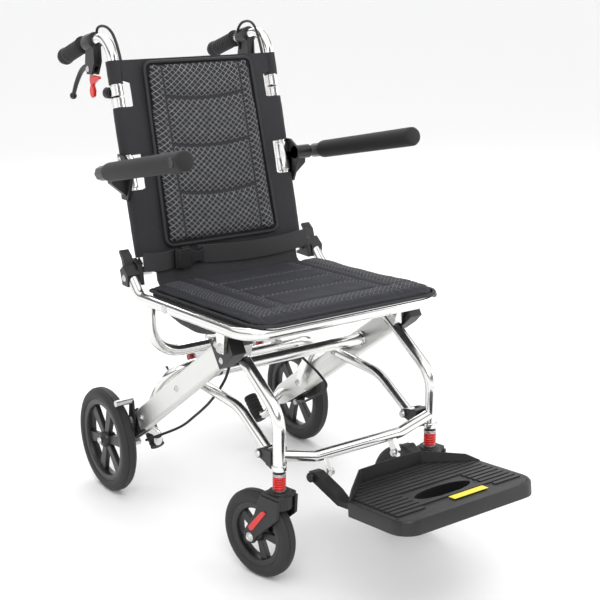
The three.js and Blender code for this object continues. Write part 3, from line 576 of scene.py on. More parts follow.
def hinge_block(side, g):
    s = Shape()
    outline = [on_beam(*p) for p in ((-16, -20), (6, -24), (38, -24), (38, 24), (-6, 24), (-18, 10))]
    s.prism(outline, g * 170, g * 196)
    for along, up in ((24, 14), (24, -14)):
        y, z = on_beam(along, up)
        s.bolt((g * 196, y, z), (g, 0, 0), 4, 1)
        s.bolt((g * 170, y, z), (-g, 0, 0), 4, 1)
    s.lathe(plug(5, 24), (g * 170, *FOLD), (-g, 0, 0), 20, 1)
    s.build(f"hinge_casting_{side}", [PLASTIC, ZINC], "rear_frame", [f"hinge_block_{side}"],
            "black_plastic", 2.5)


def stay(side, g):
    s = Shape()
    x = g * STAY_X
    s.tube([(x, 12, 267), (x, -118, 262), (x, *STAY_FOOT)], STAY_R, [90])
    s.lathe([(0, -9), (9, -9), (9, 9), (0, 9)], (x, *STAY_FOOT), (1, 0, 0), 28)
    s.lathe([(0, 0), (6, 0), (6, 17), (4, 17), (4, 25), (0, 25)], (x, *STAY_HEAD), (g, 0, 0), 20, 1)
    s.bolt((x - g * 9, *STAY_HEAD), (-g, 0, 0), 5, 1)
    s.build(f"stay_tube_{side}", [POLISHED, ZINC], f"stay_{side}", [f"stay_{side}"], "polished_tube")


def clevis(side, g):
    s = Shape()
    y, z = STAY_FOOT
    cheek = [(y - 10, z - 9), (-237, z - 16), (-237, z + 16), (y - 6, z + 11), (y + 8, z + 5),
             (y + 9, z - 6)]
    s.prism(cheek, g * 135, g * 138.4)
    s.prism(cheek, g * 158.2, g * 167)
    s.prism([(-220, z - 14), (-237, z - 16), (-237, z + 16), (-220, z + 13)], g * 136, g * 166)
    for x, d in ((135, -1), (167, 1)):
        s.lathe(cap(7, 4, 6), (g * x, y, z), (g * d, 0, 0), 24, 1)
    s.build(f"stay_clevis_{side}", [PLASTIC, ZINC], "front_frame", [f"clevis_{side}"], "black_plastic",
            1.8)


# ------------------------------------------------------------ wheels
def wheel(name, centre, r, width, rim_r, spokes, body, nodes, turn=0.0, stem=None):
    x, y, z = centre
    tyre = Shape()
    w = width / 2
    profile = [(rim_r, -w * 0.72), (rim_r + 4, -w * 0.95), (rim_r + 9, -w), (r - 8, -w * 0.97),
               (r - 4, -w * 0.8),
               (r - 1.2, -w * 0.5), (r - 1.4, -w * 0.38), (r - 0.2, -w * 0.34)]
    profile = profile + [(a, -b) for a, b in reversed(profile)] + [profile[0]]
    tyre.lathe(profile, centre, (1, 0, 0), 72)
    rim = Shape()
    band = [(rim_r - 9, -w * 0.72), (rim_r - 3, -w * 0.8), (rim_r + 1.5, -w * 0.78),
            (rim_r + 1.5, w * 0.78), (rim_r - 3, w * 0.8),
            (rim_r - 9, w * 0.72), (rim_r - 11, w * 0.3), (rim_r - 11, -w * 0.3), (rim_r - 9, -w * 0.72)]
    rim.lathe(band, centre, (1, 0, 0), 72)
    hub = 14 if r > 90 else 12
    rim.lathe([(0, -w), (hub * 0.7, -w), (hub, -w + 4), (hub + 3, 0), (hub, w - 4), (hub * 0.7, w),
               (0, w)], centre, (1, 0, 0), 32)
    for k in range(spokes):
        a = 2 * pi * k / spokes + 0.3
        start = len(rim.verts)
        wide, narrow = (11, 7) if r > 90 else (8.5, 5.5)
        rim.prism([(y - narrow, z + hub - 3), (y + narrow, z + hub - 3), (y + wide, z + rim_r - 7),
                   (y - wide, z + rim_r - 7)],
                  x - w * 0.34, x + w * 0.34)
        rim.turned(start, a, (y, z))
    away = math.copysign(1, x)
    rim.lathe(cap(7, 4, 6), (x + away * w, y, z), (away, 0, 0), 6, 1)
    for shape in (tyre, rim):
        if stem:
            shape.swivelled(turn, stem)
    tyre.build(name + "_tyre", TYRE, body, [nodes[0]], "tyre")
    rim.build(name + "_rim", [RIM, ZINC], body, [nodes[1]], "black_plastic", 1.2)


def caster(side, g):
    c = CASTER
    x, y = g * c["x"], c["y"]
    turn = radians(c["swivel"])
    axle = y + c["trail"]
    nodes = (f"caster_tyre_{side}", f"caster_rim_{side}")
    wheel(f"caster_{side}", (x, axle, c["r"]), c["r"], c["width"], 54, 5, f"caster_wheel_{side}", nodes,
          turn, (x, y))
    s = Shape()
    s.lathe([(6.5, -11), (21, -11), (21, -7), (18.5, -4), (18, 0), (6.5, 0), (6.5, -11)], (x, y, 164),
            (0, 0, 1), 40)
    brow = [(21 * cos(t), 21 * sin(t)) for t in np.linspace(pi * 1.06, pi * 1.94, 16)]
    s.prism([(x + a, y + b) for a, b in brow], 136, 154, "xy")
    for k in (-1, 1):
        arm = [(y - 19, 156), (y - 17, 124), (axle - 15, 80), (axle - 8, 66), (axle + 4, 63),
               (axle + 12, 72), (axle + 11, 86),
               (y + 34, 120), (y + 21, 157)]
        s.prism(arm, x + k * 18, x + k * 24)
        insert = [(y + 6, 130), (y + 13, 132), (y + 20, 126), (axle + 2, 94), (axle - 3, 88),
                  (axle - 9, 91)]
        s.prism(insert, x + k * 23.5, x + k * 26, mat=1)
        s.bolt((x + k * 24.5, axle, c["r"]), (k, 0, 0), 6, 2)
    s.prism([(y - 17, 153), (y + 20, 153), (y + 19, 162), (y - 16, 162)], x - 22, x + 22)
    s.swivelled(turn, (x, y))
    s.build(f"caster_yoke_{side}", [PLASTIC, RED, ZINC], f"caster_fork_{side}", [f"fork_{side}"],
            "black_plastic", 2.0)
    spring = Shape()
    turns, low, high = 5, 168, 189
    coil = [Vector((x + 9 * cos(t), y + 9 * sin(t), low + (high - low) * t / (2 * pi * turns)))
            for t in np.linspace(0, 2 * pi * turns, 24 * turns + 1)]
    spring.curve(coil, 1.9, 10)
    spring.lathe([(6.4, 166), (8, 166), (8, 190), (6.4, 190), (6.4, 166)], (x, y, 0), (0, 0, 1), 24)
    for low in (165, 190):
        spring.lathe([(6.4, low), (11, low), (11, low + 1.4), (6.4, low + 1.4), (6.4, low)], (x, y, 0),
                     (0, 0, 1), 28, 1)
    spring.build(f"coil_spring_{side}", [RED, ZINC], "front_frame", [f"spring_{side}"], "spring_red")


def rear_corner(side, g):
    wheel(f"rear_{side}", (g * AXLE[0], AXLE[1], AXLE[2]), 100, 28, 78, 6, f"rear_wheel_{side}",
          (f"rear_tyre_{side}", f"rear_rim_{side}"))
    s = Shape()
    outer = [on_beam(*p) for p in ((384, -23), (470, -20), (502, -12), (508, 0), (502, 12), (470, 21),
                                   (384, 23))]
    s.prism(outer, g * 172, g * 176.5, mat=2)
    s.prism(outer, g * 187, g * 192)
    for a0, a1 in ((384, 410), (462, 500)):
        s.prism([on_beam(*p) for p in ((a0, -18), (a1, -12), (a1, 12), (a0, 18))], g * 174, g * 190)
    s.lathe([(0, 0), (9, 0), (9, 3), (5, 3), (5, 60), (0, 60)], (g * 178, AXLE[1], AXLE[2]), (g, 0, 0), 6,
            1)
    for along in (398, 480):
        s.bolt((g * 172, *on_beam(along)), (-g, 0, 0), 5, 1)
    s.build(f"axle_casting_{side}", [PLASTIC, ZINC, SATIN], "rear_frame", [f"axle_bracket_{side}"],
            "black_plastic", 1.6)
    y, z = on_beam(*BRAKE_ARM)
    b = Shape()
    b.prism([(y + 2, z - 58), (y + 14, z - 58), (y + 12, z), (y + 7, z + 40), (y - 7, z + 40),
             (y - 11, z)], g * 194, g * 198)
    b.lathe(plug(6, 36), (g * 193.8, y, z + 38), (g, 0, 0), 24, 1)
    b.lathe(plug(6, 16), (g * 178, y + 8, z - 50), (g, 0, 0), 20, 1)
    b.bolt((g * 198, y, z), (g, 0, 0), 5, 1)
    b.build(f"brake_lever_arm_{side}", [PLASTIC, ZINC], f"brake_arm_{side}", [f"brake_arm_{side}"],
            "black_plastic", 1.0)
    t = Shape()
    x = g * 120
    t.tube([(g * 172, 216, 120), (g * 158, 216, 120), (g * 132, 210, 104), (x, 212, 46), (x, 266, 99)], 8,
           [0, 14, 24], mat=1)
    grip = [(11, 0), (14, 1), (14, 3)]
    for k in range(6):
        grip += [(12.6, 6 + 8 * k), (14, 8 + 8 * k), (14, 12 + 8 * k)]
    t.lathe([(0, 0)] + grip + [(13, 56), (0, 58)], (x, 231, 64.5), (0, 40, 39.4), 28)
    t.build(f"tipping_bar_{side}", [FOAM, POLISHED], "rear_frame", [f"tipping_step_{side}"],
            "black_plastic")


# ------------------------------------------------------------ back
def back_frame():
    s = Shape()
    top = KNUCKLE_Z - 3
    for g in (-1, 1):
        x = g * BACK_X
        s.tube([(x, *BACK_FOOT), (x, back_y(top), top)], 10)
        s.lathe([(5, -12), (12, -12), (12, 12), (5, 12), (5, -12)], (x, *BACK_FOOT), (1, 0, 0), 28)
        axis = (0, RECLINE, 1)
        s.lathe(collar(10, 12, 18), (x, back_y(722), 722), axis, 32)
        s.prism([(back_y(724), 724), (back_y(724) + 15, 727), (back_y(741) + 15, 741),
                 (back_y(741), 741)], x - 8, x + 8)
        strip = [(10, 0), (12.3, 0.6), (12.3, 24), (11.8, 25), (12.3, 26), (12.3, 55), (10, 55.6),
                 (10, 0)]
        s.lathe(strip, (x, back_y(582), 582), axis, 32)
    s.tube([(-BACK_X, back_y(520) + 2, 520), (BACK_X, back_y(520) + 2, 520)], 7.5)
    s.build("back_tubes", [POLISHED, ZINC], "back_frame", ["back_frame"], "polished_tube", 0.6)


def back_hinge(side, g):
    y, z = BACK_FOOT
    s = Shape()
    s.prism([(y - 26, z - 22), (y + 14, z - 22), (y + 17, z + 10), (y + 4, z + 22), (y - 20, z + 14)],
            g * 179, g * 189)
    s.prism([(y - 26, z - 22), (y - 4, z - 22), (y + 4, z + 4), (y - 8, z + 14), (y - 26, z)], g * 188,
            g * 213)
    s.bolt((g * 213, y - 12, z - 8), (g, 0, 0), 5, 1)
    s.lathe(cap(10, 5, 7), (g * 189, y, z), (g, 0, 0), 28, 1)
    lever = [(y - 8, z + 10), (y + 2, z + 8), (y + 6, z + 22), (y + 16, z + 34), (y + 12, z + 38),
             (y - 2, z + 28)]
    s.prism(lever, g * 190, g * 208)
    s.build(f"back_hinge_casting_{side}", [PLASTIC, ZINC], "seat_frame", [f"back_hinge_{side}"],
            "black_plastic", 2.0)


def handle(side, g):
    x = g * BACK_X
    body = f"push_handle_{side}"
    s = Shape()
    y0 = back_y(742.8)
    s.tube([(x, y0, 742.8), (x, 272, 848), (x, 378, 826), (x, 382, 825)], 10, [42, 0])
    axis = (0, RECLINE, 1)
    s.lathe(collar(10, 12, 18), (x, y0, 743), axis, 32)
    s.prism([(y0, 743), (y0 + 14, 743), (y0 + 15, 757), (y0, 760)], x - 8, x + 8)
    s.build(f"handle_bend_{side}", POLISHED, body, [f"handle_tube_{side}"], "polished_tube", 0.6)
    knob = Shape()
    knob.lathe([(0, 0), (8, 0), (8, 3), (10, 4), (10, 12), (8.5, 14), (0, 14)], (x + g * 8, y0 + 8, 748),
               (g * 0.4, 1, 0), 28)
    knob.build(f"fold_knob_{side}", PLASTIC, body, (), "black_plastic")
    grip(side, x, body)
    clamp(side, g, x, body)


def grip(side, x, body):
    s = Shape()
    a = Vector((x, 380, 826))
    b = Vector((x, 470, 797))
    d = (b - a).normalized()
    profile = [(10, 0), (15, 0), (16.5, 1.5), (16.5, 5), (13.5, 8)]
    for k in range(8):
        h = 12 + 7.5 * k
        profile += [(13.4, h), (14.8, h + 1.5), (14.8, h + 5)]
    profile += [(13.6, 74), (14.5, 78), (16, 82), (16.2, 88), (14, 94), (8, 97), (0, 98)]
    s.lathe([(0, 0)] + profile, a, d, 32)
    s.build(f"hand_grip_{side}", FOAM, body, [f"grip_{side}"], "black_rubber")


def clamp(side, g, x, body):
    s = Shape()
    d = Vector((0, 106, -22)).normalized()
    start = Vector((x, 328, 836.6))
    s.lathe([(10.2, 0), (15, 0), (15.5, 2), (15.5, 32), (15, 34), (10.2, 34), (10.2, 0)], start, d, 32)
    cheek = [(324, 832), (356, 826), (362, 794), (356, 774), (336, 774), (322, 798)]
    s.prism(cheek, x - 8, x - 3.8)
    s.prism(cheek, x + 3.8, x + 8)
    s.prism([(324, 832), (346, 826), (338, 790), (326, 790)], x - 6, x + 6)
    for k in (-1, 1):
        s.bolt((x + 8 * k, *BRAKE_PIVOT), (k, 0, 0), 4, 1)
    loop = smooth_path([(x - g * 8, 352, 806), (x - g * 13, 352, 838), (x - g * 11, 342, 856),
                        (x - g * 10, 320, 862),
                        (x - g * 12, 298, 858), (x - g * 14, 280, 842), (x - g * 15, 262, 806),
                        (x - g * 15, 256, 770)])
    s.curve(loop, 2.6, 12)
    s.build(f"brake_body_{side}", [PLASTIC, ZINC], body, [f"brake_clamp_{side}"], "black_plastic", 1.2)
    lever = Shape()
    path = smooth_path([(x, 352, 784), (x, 372, 786), (x, 396, 776), (x, 420, 752), (x, 436, 729)])
    n = len(path)
    lever.curve(path, 5.4, 16, scale=[1.1 - 0.4 * i / n for i in range(n)])
    lever.lathe([(0, -3.4), (8, -3.4), (8, 3.4), (0, 3.4)], (x, *BRAKE_PIVOT), (1, 0, 0), 24)
    ball = [(6.8 * sin(t), -6.8 * cos(t)) for t in np.linspace(0.02, pi - 0.02, 12)]
    lever.lathe(ball, (x, 437, 727), (0, 0, 1), 24)
    lever.build(f"brake_handle_{side}", PLASTIC, f"brake_lever_{side}", [f"brake_lever_{side}"],
                "black_plastic")
    lock = Shape()
    y, z = 344, 771.5
    outline = [(y - 24, z + 1), (y + 10, z + 1), (y + 13, z - 9), (y + 9, z - 17), (y + 14, z - 27),
               (y + 12, z - 37),
               (y + 5, z - 41), (y - 2, z - 37), (y - 4, z - 27), (y + 1, z - 17), (y - 8, z - 11),
               (y - 26, z - 3)]
    lock.prism(outline, x - 3.4, x + 3.4)
    lock.build(f"brake_lock_{side}", RED, f"parking_lock_{side}", [f"parking_lock_{side}"], "red_plastic",
               1.5)


def armrest(side, g):
    py, pz = ARM_PIVOT
    x = g * ARM_X
    tip = Vector((x, *ARM_TIP))
    base = Vector((x, py, pz))
    d = (tip - base).normalized()
    length = (tip - base).length
    s = Shape()
    s.lathe([(0, -15), (11, -14), (13, -10), (13, 26), (0, 26)], base, d, 8, 1)
    s.lathe([(0, 22), (13, 22), (15.8, 24), (16.6, 30), (16.6, length * 0.5), (16.8, length - 10),
             (16.6, length - 4), (14.5, length), (10, length + 2.4), (0, length + 3)], base, d, 40)
    side_dir = Vector((-g, 0, 0))
    s.lathe([(0, 0), (8.5, 0), (8.5, 1.6), (7.5, 2.2), (3, 1.6), (0, 1.6)],
            base + d * (length - 20) - side_dir * 15.4, -side_dir, 28, 1)
    s.build(f"arm_pad_{side}", [FOAM, PLASTIC], f"armrest_{side}", [f"armrest_{side}"], "black_rubber")
    b = Shape()
    inner = BACK_X + 10.8
    ty = back_y(pz - 22)
    b.prism([(ty - 6, pz + 24), (ty + 18, pz + 24), (ty + 8, pz - 56), (ty - 16, pz - 56),
             (py - 12, pz - 12), (py - 12, pz + 8)],
            g * inner, g * (inner + 5))
    b.prism([(g * inner, pz), (g * 211, pz), (g * 209, pz - 24), (g * inner, pz - 52)], ty - 13, ty + 5,
            "xz")
    b.lathe([(0, 0), (13, 0), (13, 33), (11, 34.5), (0, 34.5)], (g * inner, py, pz), (g, 0, 0), 32)
    b.bolt((g * (inner + 5), ty + 6, pz - 40), (g, 0, 0), 4, 1)
    b.bolt((g * (inner + 5), ty + 10, pz + 15), (g, 0, 0), 4, 1)
    b.build(f"arm_clamp_{side}", [PLASTIC, ZINC], "back_frame", [f"arm_bracket_{side}"], "black_plastic",
            1.6)


# ------------------------------------------------------------ soft goods
def grid_slab(us, vs, place, top, bottom):
    """A closed slab over a grid: place(u, v, n) gives the point, top and bottom give n."""
    s = Shape()
    nu, nv = len(us), len(vs)
    verts = [place(u, v, top(u, v)) for v in vs for u in us]
    verts += [place(u, v, bottom(u, v)) for v in vs for u in us]
    faces = []
    base = nu * nv
    for j in range(nv - 1):
        for i in range(nu - 1):
            a, b, c, d = j * nu + i, j * nu + i + 1, (j + 1) * nu + i + 1, (j + 1) * nu + i
            faces += [(a, b, c, d), (base + d, base + c, base + b, base + a)]
    rim = [j for j in range(nu)] + [j * nu + nu - 1 for j in range(1, nv)]
    rim += [(nv - 1) * nu + i for i in range(nu - 2, -1, -1)] + [j * nu for j in range(nv - 2, 0, -1)]
    for a, b in zip(rim, rim[1:] + rim[:1]):
        faces.append((b, a, base + a, base + b))
    s.add(verts, faces)
    return s


def inflate(obj, pressure, cap, voxel=0.005):
    """Swells a closed pad with the cloth solver, then caps how far any point moved."""
    mod = obj.modifiers.new("remesh", "REMESH")
    mod.mode = "VOXEL"
    mod.voxel_size = voxel
    bpy.context.view_layer.objects.active = obj
    bpy.ops.object.modifier_apply(modifier="remesh")
    rest = np.array([v.co for v in obj.data.vertices])
    cloth = obj.modifiers.new("cloth", "CLOTH")
    cloth.settings.use_pressure = True
    cloth.settings.uniform_pressure_force = pressure
    cloth.settings.effector_weights.gravity = 0
    cloth.settings.tension_stiffness = 12
    cloth.settings.bending_stiffness = 0.4
    scene = bpy.context.scene
    for f in range(1, SWELL_FRAMES + 1):
        scene.frame_set(f)
    bpy.ops.object.modifier_apply(modifier="cloth")
    scene.frame_set(1)
    now = np.array([v.co for v in obj.data.vertices])
    move = now - rest
    size = np.linalg.norm(move, axis=1, keepdims=True)
    move *= np.minimum(1, cap / np.maximum(size, 1e-9))
    obj.data.vertices.foreach_set("co", (rest + move).astype(np.float32).ravel())
    obj.data.update()


def subdivide(obj, levels=1):
    mod = obj.modifiers.new("fine", "SUBSURF")
    mod.levels = mod.render_levels = levels
    bpy.context.view_layer.objects.active = obj
    bpy.ops.object.modifier_apply(modifier="fine")


def dent(obj, depth_of, normal):
    """Moves each point against normal by depth_of(x, y, z), in chair millimetres."""
    mesh = obj.data
    n = Vector(normal)
    for v in mesh.vertices:
        x, y, z = v.co.x * 1000, v.co.y * 1000 - ORIGIN_Y, v.co.z * 1000
        v.co -= n * (depth_of(x, y, z) / 1000)
    mesh.update()
    for p in mesh.polygons:
        p.use_smooth = True


def make_pad(pad, seams, out, body, node):
    """Swells a pad, presses its seams in and fixes it to body."""
    inflate(pad, 4.0, 0.006)
    subdivide(pad)
    dent(pad, seams, out)
    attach(pad, body)
    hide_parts(node)


def groove(distance, width, depth):
    return depth * exp(-((distance / width) ** 2))


BACK_UP = Vector((0, RECLINE, 1)).normalized()
BACK_OUT = Vector((0, -BACK_UP.z, BACK_UP.y))


def back_point(x, w, n):
    """x across, w height on the recline (as z), n forward of the tube axis."""
    return Vector((x, back_y(w), w)) + BACK_OUT * n


def back_coords(y, z):
    p = Vector((0, y - BACK_FOOT[0], z - BACK_FOOT[1]))
    return p.dot(BACK_UP) * BACK_UP.z + BACK_FOOT[1], p.dot(BACK_OUT)


def back_pad():
    top, low = PAD_TOP, PAD_LOW
    us = np.linspace(-1, 1, 61)
    vs = np.linspace(low, top, 81)

    def half(w):
        return 121 - 8 * (w - low) / (top - low)

    def place(u, w, n):
        corner = 1 - 0.06 * max(0, abs((w - 635) / 161) ** 8) * abs(u) ** 6
        return back_point(u * half(w) * corner, w, n)

    pad = grid_slab(us, vs, place, lambda u, w: 19, lambda u, w: 11.4).build("back_pad_soft", BACK_MESH)

    def seams(x, y, z):
        w, n = back_coords(y, z)
        if n < 13:
            return 0
        bow = SEAM_BOW * (1 - (x / 80) ** 2)
        rows = max(groove(w - (c - bow), 9, 5.0) for c in BACK_SEAMS) if abs(x) < 84 else 0
        cols = groove(abs(x) - BACK_COLUMN, 6, 3.6)
        return max(rows, cols) + 0.5 * noise.noise(Vector((x / 22, w / 22, 3)))

    make_pad(pad, seams, BACK_OUT, "back_frame", "back_pad")
    edge = Shape()
    corners = [back_point(g * half(w), w, 15) for g, w in ((-1, low), (1, low), (1, top), (-1, top))]
    mid = (corners[0] + corners[3]) / 2
    edge.tube([mid, corners[3], corners[2], corners[1], corners[0], mid + Vector((0, 0, -0.1))], 3.2,
              [14, 14, 14, 14], 14)
    edge.build("back_piping", PIPING, "back_frame", (), "black_fabric")


def sleeve(name, side, g, w0, w1, body):
    """Fabric wrapped round the back tube, with gathers along it."""
    rows = max(6, int((w1 - w0) / 5))
    s = Shape()
    section = [(112, 10.5), (130, 11.5), (150, 13)]
    for a in range(85, -116, -12):
        section.append((BACK_X + 12.9 * cos(radians(a)), 12.9 * sin(radians(a))))
    section += [(150, -9.5), (130, 1), (112, 7)]
    n = len(section)
    verts = []
    for j in range(rows + 1):
        w = w0 + (w1 - w0) * j / rows
        for k, (x, d) in enumerate(section):
            ripple = 0.9 * noise.noise(Vector((x / 14 * g, w / 9, k * 0.3)))
            hem = 1 - 0.05 * exp(-min(j, rows - j) / 1.5)
            verts.append(back_point(g * (BACK_X + (x - BACK_X) * hem), w, d * hem + ripple * 0.8))
    faces = ring_faces(rows + 1, n)
    faces += [tuple(range(n)), tuple(rows * n + k for k in range(n))[::-1]]
    s.add(verts, faces)
    return s.build(f"{name}_{side}", CANVAS, body, (), "black_fabric", sharp=60)


def back_cover():
    us = np.linspace(-1, 1, 61)
    vs = np.linspace(432, 803, 76)

    def half(w):
        cut_out = 722 < w < 764 or 578 < w < 642
        return 142 if cut_out else 150 if w < 462 else 157

    def place(u, w, n):
        return back_point(u * half(w), w, n)

    def wave(u, w):
        broad = noise.noise(Vector((u * 3.8, w / 30, 1)))
        return 1.6 * broad + 0.7 * noise.noise(Vector((u * 14, w / 16, 7)))

    cover = grid_slab(us, vs, place, lambda u, w: 10.2 + min(0.8, wave(u, w)), lambda u,
                      w: 6 + wave(u, w))
    cover.build("back_cover", CANVAS, "back_frame", ["back_upholstery"], "black_fabric", sharp=60)
    for side, g in SIDES.items():
        sleeve("sleeve_low", side, g, 462, 578, "back_frame")
        sleeve("sleeve_mid", side, g, 640, 722, "back_frame")
        sleeve_top(side, g)


def sleeve_top(side, g):
    s = Shape()
    rows = 10
    sides = 28
    verts = []
    for j in range(rows + 1):
        w = 763 + 40 * j / rows
        for k in range(sides):
            a = 2 * pi * k / sides
            r = 12.9 + 0.5 * noise.noise(Vector((cos(a) * 2, sin(a) * 2, w / 9)))
            verts.append(back_point(g * BACK_X + r * cos(a), w, r * sin(a)))
    faces = ring_faces(rows + 1, sides)
    faces += [tuple(range(sides)), tuple(rows * sides + k for k in range(sides))[::-1]]
    s.add(verts, faces)
    s.build(f"sleeve_top_{side}", CANVAS, f"push_handle_{side}", (), "black_fabric", sharp=60)


TILT = math.atan(RAKE)


def seat_point(x, u, n):
    """u back from the front tube's centre, n above the tube plane."""
    c, s = cos(TILT), sin(TILT)
    return Vector((x, SEAT_FRONT + u * c + n * s, SEAT_Z - u * s + n * c))


def corner_half(u, half, front, r=42):
    """Half width with rounded front corners."""
    d = r - (u - front)
    return half if d <= 0 else half - r + sqrt(max(r * r - d * d, 0))


def seat_cushion():
    us = np.linspace(-1, 1, 75)
    front, rear, half = CUSHION["front"], CUSHION["rear"], CUSHION["half"]
    vs = [front + (rear - front) * (t**1.15) for t in np.linspace(0, 1, 75)]

    def place(u, v, n):
        return seat_point(u * corner_half(v, half, front - 1), v, n)

    cushion = grid_slab(us, vs, place, lambda u, v: 20, lambda u, v: 11.4).build("seat_cushion_soft",
                                                                                 SEAT_MESH)

    def seams(x, y, z):
        n = z - seat_z(y)
        if n < 14:
            return 0
        u = y - SEAT_FRONT
        d = max(groove(abs(x) - c, 3.5, 2.4) for c in (*SIDE_BAND, *COLUMN))
        d = max(d, *(groove(u - c, 3.5, 2.4) for c in FRONT_BAND))
        if abs(x) < COLUMN[1]:
            d = max(d, *(groove(u - (low + high) / 2, 8, 3.2) for low, high in ROWS))
        border = min(half - abs(x), u - front, rear - u)
        d = max(d, groove(border - 13, 3.5, 2.5))
        return d + 0.7 * noise.noise(Vector((x / 26, u / 26, 5)))

    make_pad(cushion, seams, (0, 0, 1), "seat_frame", "seat_cushion")
    edge = Shape()
    loop = [seat_point(x, u, 12.5) for x, u in ((0, rear), (half, rear), (half, front), (-half, front),
                                                (-half, rear), (0.1, rear))]
    edge.tube(loop, 2.8, [8, 42, 42, 8], 12)
    edge.build("seat_piping", PIPING, "seat_frame", (), "black_fabric")


def seat_sling():
    us = np.linspace(-186, 186, 63)
    vs = np.linspace(18, 334, 60)

    def sag(u, v):
        side = max(0, 1 - (abs(u) / 186) ** 14)
        pouch = max(0, 1 - ((v - 237) / 92) ** 2) ** 0.7
        return -7 - side * (4 + 40 * pouch) + 1.2 * noise.noise(Vector((u / 30, v / 24, 9)))

    s = grid_slab(us, vs, seat_point, lambda u, v: 10.4, sag)
    s.build("seat_sling_cloth", CANVAS, "seat_frame", ["seat_sling"], "black_fabric", sharp=60)


def seat_flap():
    """Cloth that rises from the seat's rear edge to the foot of the backrest, a little uneven along its
    width.
    """
    profile = [(0, 4), (30, 7), (44, 20), (49, 40), (52.5, 40), (48, 17), (33, 3), (0, 0)]
    start = seat_point(0, 333, 0)
    xs = np.linspace(-152, 152, 44)
    scale = [1 + 0.05 * noise.noise(Vector((x / 21, 2, 4))) for x in xs]
    s = Shape()
    s.sweep([Vector((x, start.y, start.z)) for x in xs], [(rise, -back) for back, rise in profile],
            scale=scale)
    flap = s.build("seat_flap", CANVAS, "seat_frame", (), "black_fabric", sharp=70)
    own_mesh(flap)


def belt():
    y = back_y(444) - 25
    s = Shape()
    for x0, x1, sag in ((-178, -110, 1), (-66, 178, 3)):
        path = []
        for t in np.linspace(0, 1, 24):
            bulge = sin(pi * t)
            path.append(Vector((x0 + (x1 - x0) * t, y + 2.5 - 6 * bulge, 459 - 2 * sag * bulge)))
        verts = []
        for p in path:
            for dy, dz in ((-1.1, -17), (1.1, -17), (1.1, 17), (-1.1, 17)):
                verts.append(p + Vector((0, dy, dz)))
        faces = ring_faces(len(path), 4)
        n = 4 * (len(path) - 1)
        faces += [(0, 1, 2, 3), (n + 3, n + 2, n + 1, n)]
        s.add(verts, faces)
    s.build("lap_belt", WEBBING, "back_frame", ["belt_right", "belt_left"], "belt", 0.4)
    b = Shape()
    b.box(-118, -86, y - 8, y + 4, 440, 475)
    b.box(-114, -108, y - 9.5, y - 8, 443, 472)
    b.prism([(-86, 442), (-76, 448), (-66, 448), (-58, 443), (-58, 472), (-66, 467), (-76, 467),
             (-86, 473)], y - 7, y + 3, "xz")
    for z in (439, 476):
        b.box(-104, -88, y - 6, y + 2, z - 2, z + 2)
    b.build("belt_buckle", PLASTIC, "back_frame", (), "belt", 1.6)


# ------------------------------------------------------------ footplate
def footplate():
    half, rear, front, wing = 135, -336, -530, -398
    top = 188
    s = Shape()
    corner = [(half - 30 + 30 * sin(t), front + 34 - 34 * cos(t)) for t in np.linspace(0, pi / 2, 8)]
    outline = corner + [(half + 1, wing), (64, rear)]
    outline = outline + [(-x, y) for x, y in reversed(outline)]
    skirt = 23
    n = len(outline)

    def shrunk(across, along):
        return [(x * across, -436 + (y + 436) * along) for x, y in outline]

    inner = shrunk(0.965, 0.955)
    hole = [(54 * cos(t), HAND_HOLE_Y + 19 * sin(t)) for t in np.linspace(0, 2 * pi, 49)[:-1]]
    tread(s, inner, hole, top)
    rows = [(shrunk(0.95, 0.93), top - skirt), (outline, top - skirt), (outline, top - 3)]
    rows += [(shrunk(0.985, 0.98), top), (inner, top)]
    verts = [(x, y, z) for ring, z in rows for x, y in ring]
    faces = ring_faces(len(rows), n)
    faces.append(tuple(range(n)))
    s.add(verts, faces)
    well = [(x, y, z) for z in (top, top - skirt + 0.4) for x, y in hole]
    m = len(hole)
    s.add(well, ring_faces(2, m))
    s.add([(x, y, top - skirt - 0.2) for x, y in hole], [tuple(range(m))], 1)
    for k in range(13):
        y = front + 34 + 12.2 * k
        reach = half - 12 if y < wing else half - 12 - (y - wing) * 0.9
        spans = [(-reach, reach)]
        if abs(y - HAND_HOLE_Y) < 25:
            spans = [(-reach, -62), (62, reach)]
        if k == 0:
            spans = [(-reach, -70), (70, reach)]
        for a, b in spans:
            s.box(a, b, y - 4.2, y + 4.2, top - 0.5, top + 1.8)
    heel_guard(s, half, wing, rear, top)
    s.box(-18, 50, front + 24, front + 38, top + 1.2, top + 2.4, 2)
    s.turned(0, -FOOT_TILT, (rear, top))
    brackets(s)
    s.build("foot_tread", [PLASTIC, RIM, YELLOW], "footrest", ["footplate"], "black_plastic", 0.8)


def tread(s, ring, hole, z):
    """The flat top between the plate's edge and the hand hole."""
    outer = []
    for x, y in hole:
        d = Vector((x, (y - HAND_HOLE_Y) * 2.2)).normalized()
        outer.append(edge_hit(ring, Vector((0, HAND_HOLE_Y)), d))
    verts = [(x, y, z) for x, y in hole] + [(p.x, p.y, z) for p in outer]
    s.add(verts, ring_faces(2, len(hole)))


def edge_hit(ring, origin, d):
    best = None
    for a, b in zip(ring, ring[1:] + ring[:1]):
        a, b = Vector(a), Vector(b)
        e = b - a
        det = d.x * -e.y + d.y * e.x
        if abs(det) < 1e-9:
            continue
        w = a - origin
        t = (w.x * -e.y + w.y * e.x) / det
        u = (d.x * w.y - d.y * w.x) / det
        if t > 0 and -1e-6 <= u <= 1 + 1e-6 and (best is None or t < best):
            best = t
    return origin + d * (best or 1)


